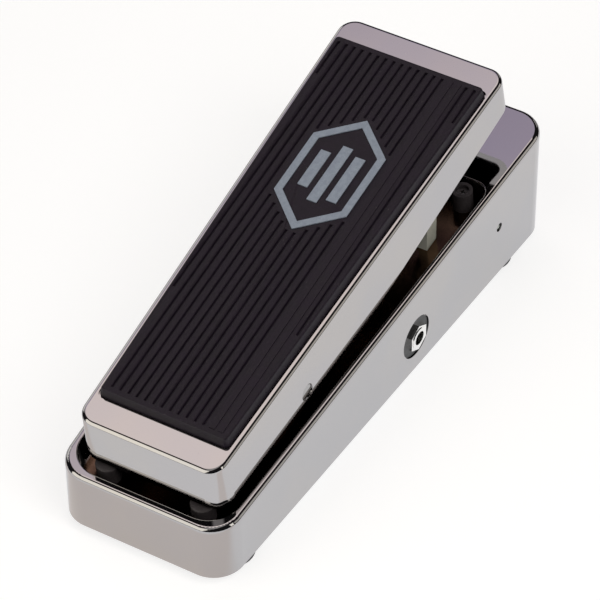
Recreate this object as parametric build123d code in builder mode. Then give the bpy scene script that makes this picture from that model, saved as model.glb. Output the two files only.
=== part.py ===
from build123d import *

import os
from math import acos, atan, cos, degrees, hypot, pi, radians, sin, tan

os.makedirs("parts", exist_ok=True)

# Rocker pedal for an electric guitar. Millimetres, +Z up, +Y towards the toe, +X towards the input jack.
# The origin is on the surface that the pedal stands on, under the middle of the base.

# ---------------------------------------------------------------- base casting
base_length = 254.0
base_heel_width = 78.7
base_toe_width = 101.7
base_corner_radius = 13.5
base_wall = 3.2
rim_heel_z = 33.4
rim_toe_z = 61.8
rim_fillet = 2.2
well_rim = 3.4
well_depth = 10.5
well_toe_y = 81.5
well_heel_radius = 14.0
well_toe_radius = 6.0
well_edge_fillet = 0.7
floor_thickness = 2.5
deck_thickness = 3.0
wall_edge_fillet = 0.5

# ---------------------------------------------------------------- treadle casting, in its own plane
treadle_length = 230.0
treadle_heel_width = 65.0
treadle_toe_width = 77.8
treadle_corner_radius = 7.7
treadle_wall = 3.0
treadle_crown = 4.0
treadle_fillet = 1.9
treadle_draft = 2.3
treadle_heel_depth = 23.6
treadle_apex_depth = 28.4
treadle_toe_depth = 16.6
treadle_apex_from_heel = 107.5
treadle_apex_radius = 350.0
treadle_rest_angle = 9.63
toe_down_angle = 6.5
toe_up_angle = 1.0
stop_gap = 0.4

# ---------------------------------------------------------------- pivot
pivot_y = -54.3
pivot_z = 48.5
pivot_drop = 20.5
pivot_from_heel = 62.6
shaft_radius = 3.75
shaft_inset = 0.4
shaft_chamfer = 0.5
bushing_wall = 1.75
bushing_flange = 1.0
bushing_flange_radius = 7.0
post_inner = 18.0
post_thickness = 8.0
post_radius = 8.5
post_foot = 13.0
treadle_boss_radius = 5.6
boss_side_gap = 0.4

# ---------------------------------------------------------------- tread pad and emblem
pad_heel_width = 60.5
pad_toe_width = 72.9
pad_heel_margin = 12.6
pad_toe_margin = 13.1
pad_corner_radius = 3.0
pad_recess_depth = 1.0
pad_thickness = 5.0
pad_side_slope = 1.2
pad_edge_radius = 0.8
pad_gap = 0.4
emblem_length = 63.0
emblem_width = 34.0
emblem_point = 15.0
emblem_line = 3.2
emblem_thickness = 0.5
emblem_from_heel = 147.5
emblem_bar_width = 4.6
emblem_bar_heights = (20.0, 31.0, 25.0)
emblem_bar_pitch = 7.4

# ---------------------------------------------------------------- underside
foot_height = 6.0
foot_radius = 11.0
foot_taper = 0.8
foot_edge = 1.5
foot_heel_y = -104.0
foot_toe_y = 98.0
foot_screw_well = 5.0
plate_thickness = 1.2
plate_lip = 1.6
screw_shank = 2.0
screw_head = 3.8
screw_head_height = 2.2
screw_length = 14.0
screw_boss_radius = 5.0
small_shank = 1.5
small_head = 2.7
small_head_height = 1.6

# ---------------------------------------------------------------- jacks and lights
jack_y = 16.7
jack_z = 23.9
jack_bore_radius = 3.2
jack_bore_length = 28.0
jack_thread_radius = 4.75
jack_recess_radius = 10.0
jack_recess_depth = 1.6
jack_pad_radius = 12.3
jack_pad_height = 2.0
jack_body_width = 18.0
jack_body_height = 15.0
jack_body_depth = 25.0
jack_body_radius = 1.5
jack_washer_thickness = 1.0
jack_washer_radius = 9.6
jack_nut_flats = 11.3
jack_nut_height = 1.9
jack_tip_proud = 0.3
light_y = 84.0
light_z = 32.8
light_radius = 1.5
light_hole_radius = 2.1
light_inset = 0.8
light_length = 7.0
light_holder_radius = 3.6
light_holder_length = 4.0
power_y = -22.0
power_z = 19.5
power_thread_radius = 5.8
power_bore_radius = 2.8
power_pin_radius = 1.05
power_bore_length = 11.0
power_body_depth = 16.0
power_body_size = 13.0
power_nut_flats = 14.0
power_nut_height = 2.2

# ---------------------------------------------------------------- rack, pinion and control
gear_module = 0.8
pinion_teeth = 18
pressure_angle = 20.0
gear_backlash = 0.12
gear_root_gap = 0.2
rack_x = 30.7
rack_y = 51.4
rack_thickness = 6.0
rack_width = 8.0
rack_head_width = 13.0
rack_head_height = 9.0
rack_head_radius = 3.0
rack_head_lip = 1.0
rack_pin_radius = 2.0
rack_pin_drop_angle = 7.5
rack_slot_gap = 0.15
rack_slot_travel = 1.1
rack_slide_gap = 0.3
pinion_z = 28.0
pinion_width = 8.0
pot_shaft_radius = 3.0
pot_thread_radius = 4.7
pot_body_radius = 11.8
pot_body_length = 9.0
pot_nut_flats = 12.0
pot_nut_height = 2.0
pot_terminal_pitch = 5.0
pot_terminal_width = 2.4
pot_terminal_height = 4.0
pot_terminal_thickness = 0.8
web_thickness = 3.0
web_gap = 3.0
web_bottom_z = 13.0
bracket_sheet = 1.5
bracket_width = 14.0
bracket_flange = 15.0
bracket_gap = 1.0
bracket_skin = 0.8
clip_radius = 3.6
clip_thickness = 0.7
pin_chamfer = 0.4
guide_thickness = 4.5
guide_height = 18.0
guide_screw_grip = 7.0
guide_screw_head = 2.2

# ---------------------------------------------------------------- foot switch and stops
switch_y = 72.0
switch_width = 16.4
switch_length = 17.0
switch_height = 16.0
switch_thread_radius = 6.0
switch_thread_top = 7.0
switch_nut_flats = 15.0
switch_nut_height = 2.2
switch_lug_height = 4.0
switch_lug_width = 2.2
switch_lug_thickness = 0.8
plunger_radius = 4.7
plunger_top = 12.5
plunger_travel = 3.0
plunger_depth = 8.0
plunger_edge = 1.0
strike_pad_radius = 7.0
strike_pad_thickness = 3.0
bumper_x = 35.4
bumper_y = 76.1
bumper_radius = 4.4
bumper_recess_radius = 2.9
bumper_recess_depth = 3.0
heel_pad_x = 22.0
heel_pad_y = -113.0
heel_pad_radius = 5.0

# ---------------------------------------------------------------- battery and circuit
battery_width = 26.2
battery_height = 17.2
battery_length = 45.8
battery_stud_height = 2.6
battery_stud_radius = 2.8
battery_stud_spacing = 12.7
battery_heel_y = -62.0
battery_foam = 1.2
snap_thickness = 4.2
snap_margin_x = 1.0
snap_margin_z = 1.5
battery_corner = 2.0
foam_corner = 3.0
board_corner = 1.0
snap_lead_x = 4.0
board_width = 42.0
board_length = 33.0
board_thickness = 1.6
board_x = -13.5
board_y = 45.0
board_z = 29.0
board_boss_radius = 3.2
board_hole_edge = 3.5
lead_radius = 0.7
lead_exit = 4.0
lead_share = 0.45
lead_low_z = 11.5
lead_step = 1.9
pad_pitch = 2.5
heel_pads_y = 31.0
toe_pads_y = 60.4
battery_pads_x = -9.5
output_pads_x = -18.0
input_pads_x = -4.0
power_pads_x = -25.5
pot_pads_x = -6.0
switch_pads_x = -17.0
inductor_radius = 6.5
inductor_height = 9.0
inductor_offset = (0.0, -4.0)
film_length = 7.2
film_thickness = 2.8
film_height = 7.0
film_pitch = 5.0
film_offset = (10.8, -3.0)
can_radius = 3.0
can_height = 10.0
can_pitch = 8.0
can_offset = (-12.0, -4.0)
component_edge = 0.5
transistor_radius = 2.4
transistor_height = 4.6
transistor_stand = 2.0
transistor_pitch = 9.0
transistor_offset = (-7.5, 10.0)
transistor_leg = 0.5
transistor_leg_pitch = 1.27
resistor_length = 6.3
resistor_radius = 1.1
resistor_pitch = 3.0
resistor_offset = (7.0, 11.0)
resistor_count = 5

# ---------------------------------------------------------------- clearances
running_gap = 0.05
thread_gap = 0.12
press_gap = 0.02
hand_gap = 0.25
light_fit = 0.02

# ---------------------------------------------------------------- places worked out from the sizes
half_length = base_length / 2
side_slope = (base_toe_width - base_heel_width) / 2 / base_length
rim_angle = atan((rim_toe_z - rim_heel_z) / base_length)
bottom_plane = Plane.XY.offset(foot_height)
rim_plane = Plane(
    origin=(0, 0, (rim_heel_z + rim_toe_z) / 2),
    x_dir=(1, 0, 0),
    z_dir=(0, -sin(rim_angle), cos(rim_angle)),
)
deck_under_plane = rim_plane.offset(-deck_thickness)
floor_plane = rim_plane.offset(-well_depth)
floor_under_plane = floor_plane.offset(-floor_thickness)
plate_top_z = foot_height + plate_thickness
over = 1.0

rest_angle = radians(treadle_rest_angle)
heel_v = -pivot_from_heel
toe_v = heel_v + treadle_length
apex_v = heel_v + treadle_apex_from_heel
treadle_slope = (treadle_toe_width - treadle_heel_width) / 2 / treadle_length
treadle_y = pivot_y - pivot_drop * sin(rest_angle)
treadle_z = pivot_z + pivot_drop * cos(rest_angle)
treadle_plane = Plane(
    origin=(0, treadle_y, treadle_z),
    x_dir=(1, 0, 0),
    z_dir=(0, -sin(rest_angle), cos(rest_angle)),
)


def half_width(y):
    """Half the width of the base's outside at y."""
    return (base_heel_width + base_toe_width) / 4 + side_slope * y


def treadle_half(v):
    """Half the width of the treadle's top outline at v."""
    return treadle_heel_width / 2 + treadle_slope * (v - heel_v)


def taper_corners(heel_half, toe_half, heel_y, toe_y, inset=0.0):
    """Corners of a symmetrical tapered outline, with each side moved inwards by the inset."""
    slope = (toe_half - heel_half) / (toe_y - heel_y)
    low = heel_y + inset
    high = toe_y - inset
    low_half = heel_half + slope * (low - heel_y) - inset * hypot(1, slope)
    high_half = heel_half + slope * (high - heel_y) - inset * hypot(1, slope)
    return [(-low_half, low), (low_half, low), (high_half, high), (-high_half, high)]


def base_corners(inset=0.0):
    """Corners of the base's outline, moved inwards by the inset."""
    return taper_corners(base_heel_width / 2, base_toe_width / 2, -half_length, half_length, inset)


def treadle_corners(inset=0.0):
    """Corners of the treadle's top outline in its own plane, moved inwards by the inset."""
    return taper_corners(treadle_heel_width / 2, treadle_toe_width / 2, heel_v, toe_v, inset)


def pad_corners(inset=0.0):
    """Corners of the recess for the tread pad in the treadle's plane, moved inwards by the inset."""
    low = heel_v + pad_heel_margin
    return taper_corners(pad_heel_width / 2, pad_toe_width / 2, low, toe_v - pad_toe_margin, inset)


def rounded_outline(plane, corners, heel_radius, toe_radius):
    """Face on a plane with the given four corners, rounded at the heel and at the toe."""
    with BuildSketch(plane) as outline:
        with BuildLine():
            Polyline(*corners, close=True)
        make_face()
        fillet(outline.vertices().sort_by(Axis.Y)[:2], radius=heel_radius)
        fillet(outline.vertices().sort_by(Axis.Y)[-2:], radius=toe_radius)
    return outline.sketch


def wall_plane(side, y, z, depth=0.0):
    """Plane on the outside of a side wall, moved inwards by a depth, with its normal outwards."""
    face = Plane(
        origin=(side * half_width(y), y, z),
        x_dir=(side * side_slope, 1, 0),
        z_dir=(side, -side_slope, 0),
    )
    return face.offset(-depth)


def height_on(plane, y):
    """Height of a tilted plane above the ground at y."""
    return plane.origin.Z + (y - plane.origin.Y) * tan(rim_angle)


def along(plane, y):
    """Distance along a tilted plane at which it passes y."""
    return (y - plane.origin.Y) / cos(rim_angle)


def treadle_yz(v, n, swing=0.0):
    """Place in the base's Y and Z of a point v along and n above the treadle's top, after a swing."""
    y = treadle_y + v * cos(rest_angle) - n * sin(rest_angle) - pivot_y
    z = treadle_z + v * sin(rest_angle) + n * cos(rest_angle) - pivot_z
    turn = radians(swing)
    return (pivot_y + y * cos(turn) - z * sin(turn), pivot_z + y * sin(turn) + z * cos(turn))


def treadle_vn(y, z, swing=0.0):
    """Place in the treadle's plane of a point of the base, after the treadle's swing."""
    turn = radians(-swing)
    dy = y - pivot_y
    dz = z - pivot_z
    back_y = pivot_y + dy * cos(turn) - dz * sin(turn) - treadle_y
    back_z = pivot_z + dy * sin(turn) + dz * cos(turn) - treadle_z
    return (
        back_y * cos(rest_angle) + back_z * sin(rest_angle),
        -back_y * sin(rest_angle) + back_z * cos(rest_angle),
    )


def wall_depth(v):
    """Depth of the treadle's side wall below its top at v, before its lowest point is rounded."""
    if v < apex_v:
        rise = (treadle_apex_depth - treadle_heel_depth) / (apex_v - heel_v)
        return treadle_heel_depth + rise * (v - heel_v)
    fall = (treadle_apex_depth - treadle_toe_depth) / (toe_v - apex_v)
    return treadle_apex_depth - fall * (v - apex_v)


def above_floor(y, z):
    """Distance along the floor and height above it of a point of the base's Y and Z."""
    local = floor_plane.to_local_coords(Vector(0, y, z))
    return (local.Y, local.Z)


def wall_height_over(place, reach, near_v, far_v, swing):
    """Height of the treadle's wall over the floor at the lower end of a stop under it."""
    near = above_floor(*treadle_yz(near_v, -wall_depth(near_v), swing))
    far = above_floor(*treadle_yz(far_v, -wall_depth(far_v), swing))
    slope = (far[1] - near[1]) / (far[0] - near[0])
    ends = [near[1] + slope * (place + step - near[0]) for step in (-reach, reach)]
    return min(ends)


bumper_along = along(floor_plane, bumper_y)
heel_pad_along = along(floor_plane, heel_pad_y)
switch_along = along(floor_plane, switch_y)
bumper_height = wall_height_over(bumper_along, bumper_radius, apex_v, toe_v, -toe_down_angle) - stop_gap
heel_pad_height = wall_height_over(heel_pad_along, heel_pad_radius, heel_v, apex_v, toe_up_angle) - stop_gap

treadle_foot_x = post_inner + post_thickness + bushing_flange + boss_side_gap
bushing_radius = shaft_radius + bushing_wall
foot_places = [
    (side * (half_width(y) - foot_edge - foot_radius), y)
    for y in (foot_heel_y, foot_toe_y)
    for side in (-1, 1)
]
pinion_pitch_radius = gear_module * pinion_teeth / 2
tooth_pitch = pi * gear_module
tooth_root = gear_module + gear_root_gap
rack_tip_x = rack_x - rack_thickness / 2
rack_back_x = rack_x + rack_thickness / 2
pinion_x = rack_tip_x + gear_module - pinion_pitch_radius
pinion_heel_y = rack_y - pinion_width / 2
web_heel_y = rack_y + rack_width / 2 + web_gap
web_toe_y = web_heel_y + web_thickness
pin_y = rack_y
pin_z = pivot_z + (rack_y - pivot_y) * tan(radians(rack_pin_drop_angle))
pin_v, pin_n = treadle_vn(pin_y, pin_z)
lever = hypot(pin_y - pivot_y, pin_z - pivot_z)
pin_turn = radians(rack_pin_drop_angle)
rack_travel = lever * (
    sin(pin_turn + radians(toe_up_angle)) - sin(pin_turn - radians(toe_down_angle))
)
rack_ratio = rack_travel / radians(toe_up_angle + toe_down_angle)
rack_down = lever * (sin(pin_turn) - sin(pin_turn - radians(toe_down_angle)))
rack_up = lever * (sin(pin_turn + radians(toe_up_angle)) - sin(pin_turn))
jack_face = jack_recess_depth - jack_washer_thickness - jack_nut_height
board_under_z = board_z - board_thickness
floor_middle = floor_thickness / 2

strike_edges = [
    floor_plane.from_local_coords(Vector(0, switch_along + step, plunger_top))
    for step in (-plunger_radius, plunger_radius)
]
strike_n = max(treadle_vn(p.Y, p.Z, -toe_down_angle)[1] for p in strike_edges) + stop_gap
strike_v = treadle_vn(strike_edges[0].Y + plunger_radius, strike_edges[0].Z, -toe_down_angle)[0]
bumper_v = treadle_vn(bumper_y, height_on(floor_plane, bumper_y) + bumper_height, -toe_down_angle)[0]


def screw(place, head_radius, head_height, shank_radius, length):
    """Pan-head cross-recess screw: the head stands on the place and the shank runs below it."""
    with Locations(place):
        Cylinder(head_radius, head_height, align=(Align.CENTER, Align.CENTER, Align.MIN))
        Cylinder(shank_radius, length, align=(Align.CENTER, Align.CENTER, Align.MAX))
    recess = Location(place) * Location((0, 0, head_height))
    for turn in (0, 90):
        with Locations(recess * Location((0, 0, 0), (0, 0, turn))):
            Box(
                head_radius,
                head_radius / 4,
                head_height / 2,
                align=(Align.CENTER, Align.CENTER, Align.MAX),
                mode=Mode.SUBTRACT,
            )


# ================================================================ base housing
with BuildPart() as under_hollow:
    extrude(
        rounded_outline(
            bottom_plane,
            base_corners(base_wall),
            base_corner_radius - base_wall,
            base_corner_radius - base_wall,
        ),
        amount=rim_toe_z,
    )
    split(bisect_by=floor_under_plane, keep=Keep.BOTTOM)

deck_low = well_toe_y + base_wall
with BuildPart() as deck_hollow:
    deck_half = half_width(deck_low)
    corners = taper_corners(deck_half, base_toe_width / 2, deck_low - base_wall, half_length, base_wall)
    deck_radius = base_corner_radius - base_wall
    extrude(rounded_outline(bottom_plane, corners, well_toe_radius, deck_radius), amount=rim_toe_z)
    split(bisect_by=deck_under_plane, keep=Keep.BOTTOM)

with BuildPart() as base_housing:
    extrude(
        rounded_outline(bottom_plane, base_corners(), base_corner_radius, base_corner_radius),
        amount=rim_toe_z,
    )
    split(bisect_by=rim_plane, keep=Keep.BOTTOM)
    rim_face = base_housing.faces().filter_by(rim_plane).sort_by(Axis.Z)[-1]
    fillet(rim_face.outer_wire().edges(), radius=rim_fillet)
    # the sunken well under the treadle
    well_corners = taper_corners(
        base_heel_width / 2,
        half_width(well_toe_y + well_rim),
        -half_length,
        well_toe_y + well_rim,
        well_rim,
    )
    extrude(
        rounded_outline(floor_plane, well_corners, well_heel_radius, well_toe_radius),
        amount=well_depth + over,
        mode=Mode.SUBTRACT,
    )
    rim_face = base_housing.faces().filter_by(rim_plane).sort_by(Axis.Z)[-1]
    fillet(rim_face.inner_wires()[0].edges(), radius=well_edge_fillet)
    # the hollow underside and the step that the bottom plate sits in
    add(under_hollow.part, mode=Mode.SUBTRACT)
    add(deck_hollow.part, mode=Mode.SUBTRACT)
    step_radius = base_corner_radius - plate_lip
    extrude(
        rounded_outline(bottom_plane, base_corners(plate_lip), step_radius, step_radius),
        amount=plate_thickness,
        mode=Mode.SUBTRACT,
    )
    # two posts that carry the pivot shaft
    for low_x in (post_inner, -post_inner - post_thickness):
        with BuildSketch(Plane.YZ.offset(low_x)):
            with BuildLine():
                Polyline(
                    (pivot_y - post_foot, height_on(floor_plane, pivot_y - post_foot) - floor_middle),
                    (pivot_y + post_foot, height_on(floor_plane, pivot_y + post_foot) - floor_middle),
                    (pivot_y + post_radius, pivot_z),
                    (pivot_y - post_radius, pivot_z),
                    close=True,
                )
            make_face()
            with Locations((pivot_y, pivot_z)):
                Circle(post_radius)
                Circle(bushing_radius + press_gap, mode=Mode.SUBTRACT)
        extrude(amount=post_thickness)
    # bosses for the screws of the bottom plate
    for x, y in foot_places:
        top = height_on(rim_plane, y) - deck_thickness / 2
        if y < well_toe_y:
            top = height_on(floor_plane, y) - floor_middle
        with BuildSketch(Plane.XY.offset(plate_top_z)):
            with Locations((x, y)):
                Circle(screw_boss_radius)
        extrude(amount=top - plate_top_z)
        with BuildSketch(Plane.XY.offset(plate_top_z - over)):
            with Locations((x, y)):
                Circle(screw_shank + press_gap)
        extrude(amount=foot_screw_well + screw_length - plate_top_z + 2 * over, mode=Mode.SUBTRACT)
    # jack openings: a pad inside, a round recess outside and the hole for the thread
    for side in (-1, 1):
        with BuildSketch(wall_plane(side, jack_y, jack_z, base_wall + jack_pad_height)):
            Circle(jack_pad_radius)
        extrude(amount=jack_pad_height + base_wall / 2)
        with BuildSketch(wall_plane(side, jack_y, jack_z, jack_recess_depth)):
            Circle(jack_recess_radius)
        extrude(amount=jack_recess_depth + over, mode=Mode.SUBTRACT)
        with BuildSketch(wall_plane(side, jack_y, jack_z, base_wall + jack_pad_height + over)):
            Circle(jack_thread_radius + thread_gap)
        extrude(amount=base_wall + jack_pad_height + over + over, mode=Mode.SUBTRACT)
        with BuildSketch(wall_plane(side, light_y, light_z, base_wall + over)):
            Circle(light_hole_radius)
        extrude(amount=base_wall + over + over, mode=Mode.SUBTRACT)
    with BuildSketch(wall_plane(-1, power_y, power_z, base_wall + over)):
        Circle(power_thread_radius + thread_gap)
    extrude(amount=base_wall + over + over, mode=Mode.SUBTRACT)
    # slot that the rack passes through
    with BuildSketch(Plane.XY.offset(height_on(floor_under_plane, rack_y) - floor_thickness)):
        with Locations((rack_x, rack_y)):
            Rectangle(rack_thickness + 2 * rack_slide_gap, rack_width + 2 * rack_slide_gap)
    extrude(amount=3 * floor_thickness, mode=Mode.SUBTRACT)
    # cast web that carries the control
    web_low_x = pinion_x - pot_body_radius
    web_high_x = rack_back_x + guide_thickness
    web_top = height_on(floor_plane, web_heel_y + web_thickness / 2) - floor_middle
    with BuildSketch(Plane.XY.offset(web_bottom_z)):
        with Locations(((web_low_x + web_high_x) / 2, web_heel_y + web_thickness / 2)):
            Rectangle(web_high_x - web_low_x, web_thickness)
    extrude(amount=web_top - web_bottom_z)
    with BuildSketch(Plane.XZ.offset(-web_toe_y - over)):
        with Locations((pinion_x, pinion_z)):
            Circle(pot_thread_radius + thread_gap)
    extrude(amount=web_thickness + 2 * over, mode=Mode.SUBTRACT)
    # foot switch hole and screw bosses of the bumpers
    with BuildSketch(floor_plane.offset(over)):
        with Locations((0, switch_along)):
            Circle(switch_thread_radius + thread_gap)
    extrude(amount=-floor_thickness - 2 * over, mode=Mode.SUBTRACT)
    for side in (-1, 1):
        with BuildSketch(floor_plane.offset(-floor_middle)):
            with Locations((side * bumper_x, bumper_along)):
                Circle(bumper_radius)
        extrude(amount=-2 * floor_thickness)
        with BuildSketch(floor_plane.offset(over)):
            with Locations((side * bumper_x, bumper_along)):
                Circle(small_shank + press_gap)
        extrude(amount=-over - 2 * floor_thickness, mode=Mode.SUBTRACT)
    # bosses for the circuit board
    board_hole_x = board_width / 2 - board_hole_edge
    board_hole_y = board_length / 2 - board_hole_edge
    board_holes = [
        (board_x + sx * board_hole_x, board_y + sy * board_hole_y) for sy in (-1, 1) for sx in (-1, 1)
    ]
    for x, y in board_holes:
        with BuildSketch(Plane.XY.offset(board_z)):
            with Locations((x, y)):
                Circle(board_boss_radius)
        extrude(amount=height_on(floor_plane, y) - floor_middle - board_z)
        with BuildSketch(Plane.XY.offset(board_z - over)):
            with Locations((x, y)):
                Circle(small_shank + press_gap)
        extrude(amount=over + 2 * board_boss_radius, mode=Mode.SUBTRACT)
    # screw holes that hold the rack guide to the web
    guide_x = rack_back_x + rack_slide_gap / 2 + guide_thickness / 2
    guide_screw_places = [(guide_x, pinion_z + step * guide_height / 4) for step in (-1, 1)]
    with BuildSketch(Plane.XZ.offset(-web_toe_y - over)):
        with Locations(*guide_screw_places):
            Circle(small_shank + press_gap)
    extrude(amount=web_thickness + 2 * over, mode=Mode.SUBTRACT)

# ================================================================ treadle
hollow_radius = treadle_corner_radius - treadle_wall
with BuildPart() as treadle:
    tall = treadle_apex_depth + treadle_crown
    radius = treadle_corner_radius
    extrude(
        rounded_outline(treadle_plane, treadle_corners(), radius, radius),
        amount=-tall,
        taper=-treadle_draft,
    )
    top_face = treadle.faces().filter_by(treadle_plane).sort_by(Axis.Z)[-1]
    fillet(top_face.outer_wire().edges(), radius=treadle_fillet)
    extrude(
        rounded_outline(
            treadle_plane.offset(-treadle_crown),
            treadle_corners(treadle_wall),
            hollow_radius,
            hollow_radius,
        ),
        amount=-tall,
        taper=-treadle_draft,
        mode=Mode.SUBTRACT,
    )
    # cast lugs that come down on the bumpers, and the boss over the foot switch
    lug_wall_x = treadle_half(bumper_v) - treadle_wall / 2
    lug_inner_x = bumper_x - bumper_radius
    for side in (-1, 1):
        with BuildSketch(treadle_plane.offset(-treadle_crown / 2)):
            with Locations((side * (lug_inner_x + lug_wall_x) / 2, bumper_v)):
                Rectangle(lug_wall_x - lug_inner_x, 2 * bumper_radius)
        extrude(amount=-tall)
    with BuildSketch(treadle_plane.offset(-treadle_crown / 2)):
        with Locations((0, strike_v)):
            Circle(strike_pad_radius + over)
    extrude(amount=strike_n + strike_pad_thickness + treadle_crown / 2)
    # bosses that grip the pivot shaft
    grip_half = treadle_half(0) - treadle_wall / 2
    for low_x in (treadle_foot_x, -grip_half):
        with BuildSketch(Plane.YZ.offset(low_x)):
            with Locations((pivot_y, pivot_z)):
                Circle(treadle_boss_radius)
        extrude(amount=grip_half - treadle_foot_x)
    # lower edge of the side walls: rising to the heel and more steeply to the toe
    with BuildSketch(Plane.YZ) as side_profile:
        low_v = heel_v - treadle_wall
        high_v = toe_v + treadle_wall
        apex = treadle_yz(apex_v, -treadle_apex_depth)
        with BuildLine():
            Polyline(
                treadle_yz(low_v, treadle_crown),
                treadle_yz(low_v, -wall_depth(low_v)),
                apex,
                treadle_yz(high_v, -wall_depth(high_v)),
                treadle_yz(high_v, treadle_crown),
                close=True,
            )
        make_face()
        fillet(side_profile.vertices().sort_by_distance(apex)[0], radius=treadle_apex_radius)
    extrude(amount=base_toe_width, both=True, mode=Mode.INTERSECT)
    with BuildSketch(Plane.YZ.offset(-base_toe_width)):
        with Locations((pivot_y, pivot_z)):
            Circle(shaft_radius + press_gap)
    extrude(amount=2 * base_toe_width, mode=Mode.SUBTRACT)
    extrude(
        rounded_outline(treadle_plane, pad_corners(), pad_corner_radius, pad_corner_radius),
        amount=-pad_recess_depth,
        mode=Mode.SUBTRACT,
    )
    # screw holes of the rack bracket, up into the crown
    bracket_flange_x = rack_tip_x - bracket_gap - bracket_sheet - bracket_flange / 2
    bracket_screws = [(bracket_flange_x, pin_v + step * bracket_width / 4) for step in (-1, 1)]
    bracket_pilot_depth = treadle_crown - pad_recess_depth - bracket_skin
    with BuildSketch(treadle_plane.offset(-treadle_crown)):
        with Locations(*bracket_screws):
            Circle(small_shank + press_gap)
    extrude(amount=bracket_pilot_depth, mode=Mode.SUBTRACT)


# ================================================================ tread pad and emblem
pad_top_n = pad_thickness - pad_recess_depth
with BuildPart() as tread_pad:
    lower = rounded_outline(
        treadle_plane.offset(-pad_recess_depth),
        pad_corners(pad_gap),
        pad_corner_radius - pad_gap,
        pad_corner_radius - pad_gap,
    )
    pad_draft = degrees(atan(pad_side_slope / pad_thickness))
    extrude(lower, amount=pad_thickness, taper=pad_draft)
    pad_top = tread_pad.faces().sort_by(Axis.Z)[-1]
    fillet(pad_top.outer_wire().edges(), radius=pad_edge_radius)

emblem_v = heel_v + emblem_from_heel


def emblem_corners(inset):
    """Corners of the long hexagon of the emblem, moved inwards by the inset."""
    half = emblem_width / 2 - inset
    lean = hypot(emblem_width / 2, emblem_point) / (emblem_width / 2)
    tip = emblem_length / 2 - inset * lean
    shoulder = tip - emblem_point * half / (emblem_width / 2)
    return [(0, -tip), (half, -shoulder), (half, shoulder), (0, tip), (-half, shoulder), (-half, -shoulder)]


with BuildPart() as emblem:
    with BuildSketch(treadle_plane.offset(pad_top_n)):
        with Locations((0, emblem_v)):
            Polygon(*emblem_corners(0), align=Align.NONE)
            Polygon(*emblem_corners(emblem_line), align=Align.NONE, mode=Mode.SUBTRACT)
        for count, height in enumerate(emblem_bar_heights):
            with Locations(((count - 1) * emblem_bar_pitch, emblem_v)):
                Rectangle(emblem_bar_width, height)
    extrude(amount=emblem_thickness)

# ================================================================ pivot
shaft_half = treadle_half(0) + pivot_drop * tan(radians(treadle_draft)) - shaft_inset
with BuildPart() as pivot_shaft:
    with BuildSketch(Plane.YZ.offset(-shaft_half)):
        with Locations((pivot_y, pivot_z)):
            Circle(shaft_radius)
    extrude(amount=2 * shaft_half)
    chamfer(pivot_shaft.edges().filter_by(GeomType.CIRCLE), length=shaft_chamfer)

with BuildPart() as pivot_bushings:
    for side in (-1, 1):
        outer_x = side * (post_inner + post_thickness)
        with BuildSketch(Plane.YZ.offset(outer_x)):
            with Locations((pivot_y, pivot_z)):
                Circle(bushing_radius)
                Circle(shaft_radius + running_gap, mode=Mode.SUBTRACT)
        extrude(amount=-side * post_thickness)
        with BuildSketch(Plane.YZ.offset(outer_x)):
            with Locations((pivot_y, pivot_z)):
                Circle(bushing_flange_radius)
                Circle(shaft_radius + running_gap, mode=Mode.SUBTRACT)
        extrude(amount=side * bushing_flange)

# ================================================================ bottom plate, feet and screws
with BuildPart() as bottom_plate:
    plate_inset = plate_lip + hand_gap
    plate_radius = base_corner_radius - plate_inset
    extrude(
        rounded_outline(bottom_plane, base_corners(plate_inset), plate_radius, plate_radius),
        amount=plate_thickness,
    )
    with BuildSketch(bottom_plane):
        with Locations(*foot_places):
            Circle(screw_shank + hand_gap)
    extrude(amount=plate_thickness, mode=Mode.SUBTRACT)

with BuildPart() as rubber_feet:
    for place in foot_places:
        with Locations((*place, 0)):
            Cone(
                foot_radius - foot_taper,
                foot_radius,
                foot_height,
                align=(Align.CENTER, Align.CENTER, Align.MIN),
            )
            Cylinder(
                screw_head + hand_gap,
                foot_screw_well - screw_head_height,
                align=(Align.CENTER, Align.CENTER, Align.MIN),
                mode=Mode.SUBTRACT,
            )
            Cylinder(
                screw_head + hand_gap,
                foot_screw_well,
                align=(Align.CENTER, Align.CENTER, Align.MIN),
                mode=Mode.SUBTRACT,
            )
            Cylinder(
                screw_shank + hand_gap,
                foot_height,
                align=(Align.CENTER, Align.CENTER, Align.MIN),
                mode=Mode.SUBTRACT,
            )

with BuildPart() as foot_screws:
    for x, y in foot_places:
        head_down = Plane(origin=(x, y, foot_screw_well), x_dir=(1, 0, 0), z_dir=(0, 0, -1))
        screw(head_down, screw_head, screw_head_height, screw_shank, screw_length)

# ================================================================ bumpers and heel pads
with BuildPart() as toe_bumpers:
    for side in (-1, 1):
        with BuildSketch(floor_plane):
            with Locations((side * bumper_x, bumper_along)):
                Circle(bumper_radius)
                Circle(small_shank + running_gap, mode=Mode.SUBTRACT)
        extrude(amount=bumper_height)
        with BuildSketch(floor_plane.offset(bumper_height - bumper_recess_depth)):
            with Locations((side * bumper_x, bumper_along)):
                Circle(bumper_recess_radius)
        extrude(amount=bumper_recess_depth, mode=Mode.SUBTRACT)

with BuildPart() as bumper_screws:
    seat = bumper_height - bumper_recess_depth
    for side in (-1, 1):
        place = floor_plane.offset(seat)
        place.origin = floor_plane.from_local_coords(Vector(side * bumper_x, bumper_along, seat))
        screw(place, small_head, small_head_height, small_shank, seat + 1.5 * floor_thickness)

with BuildPart() as heel_pads:
    with BuildSketch(floor_plane):
        with Locations(*[(side * heel_pad_x, heel_pad_along) for side in (-1, 1)]):
            Circle(heel_pad_radius)
    extrude(amount=heel_pad_height)
    chamfer(heel_pads.faces().filter_by(floor_plane).sort_by(Axis.Z)[-2:].edges(), length=wall_edge_fillet)

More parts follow.
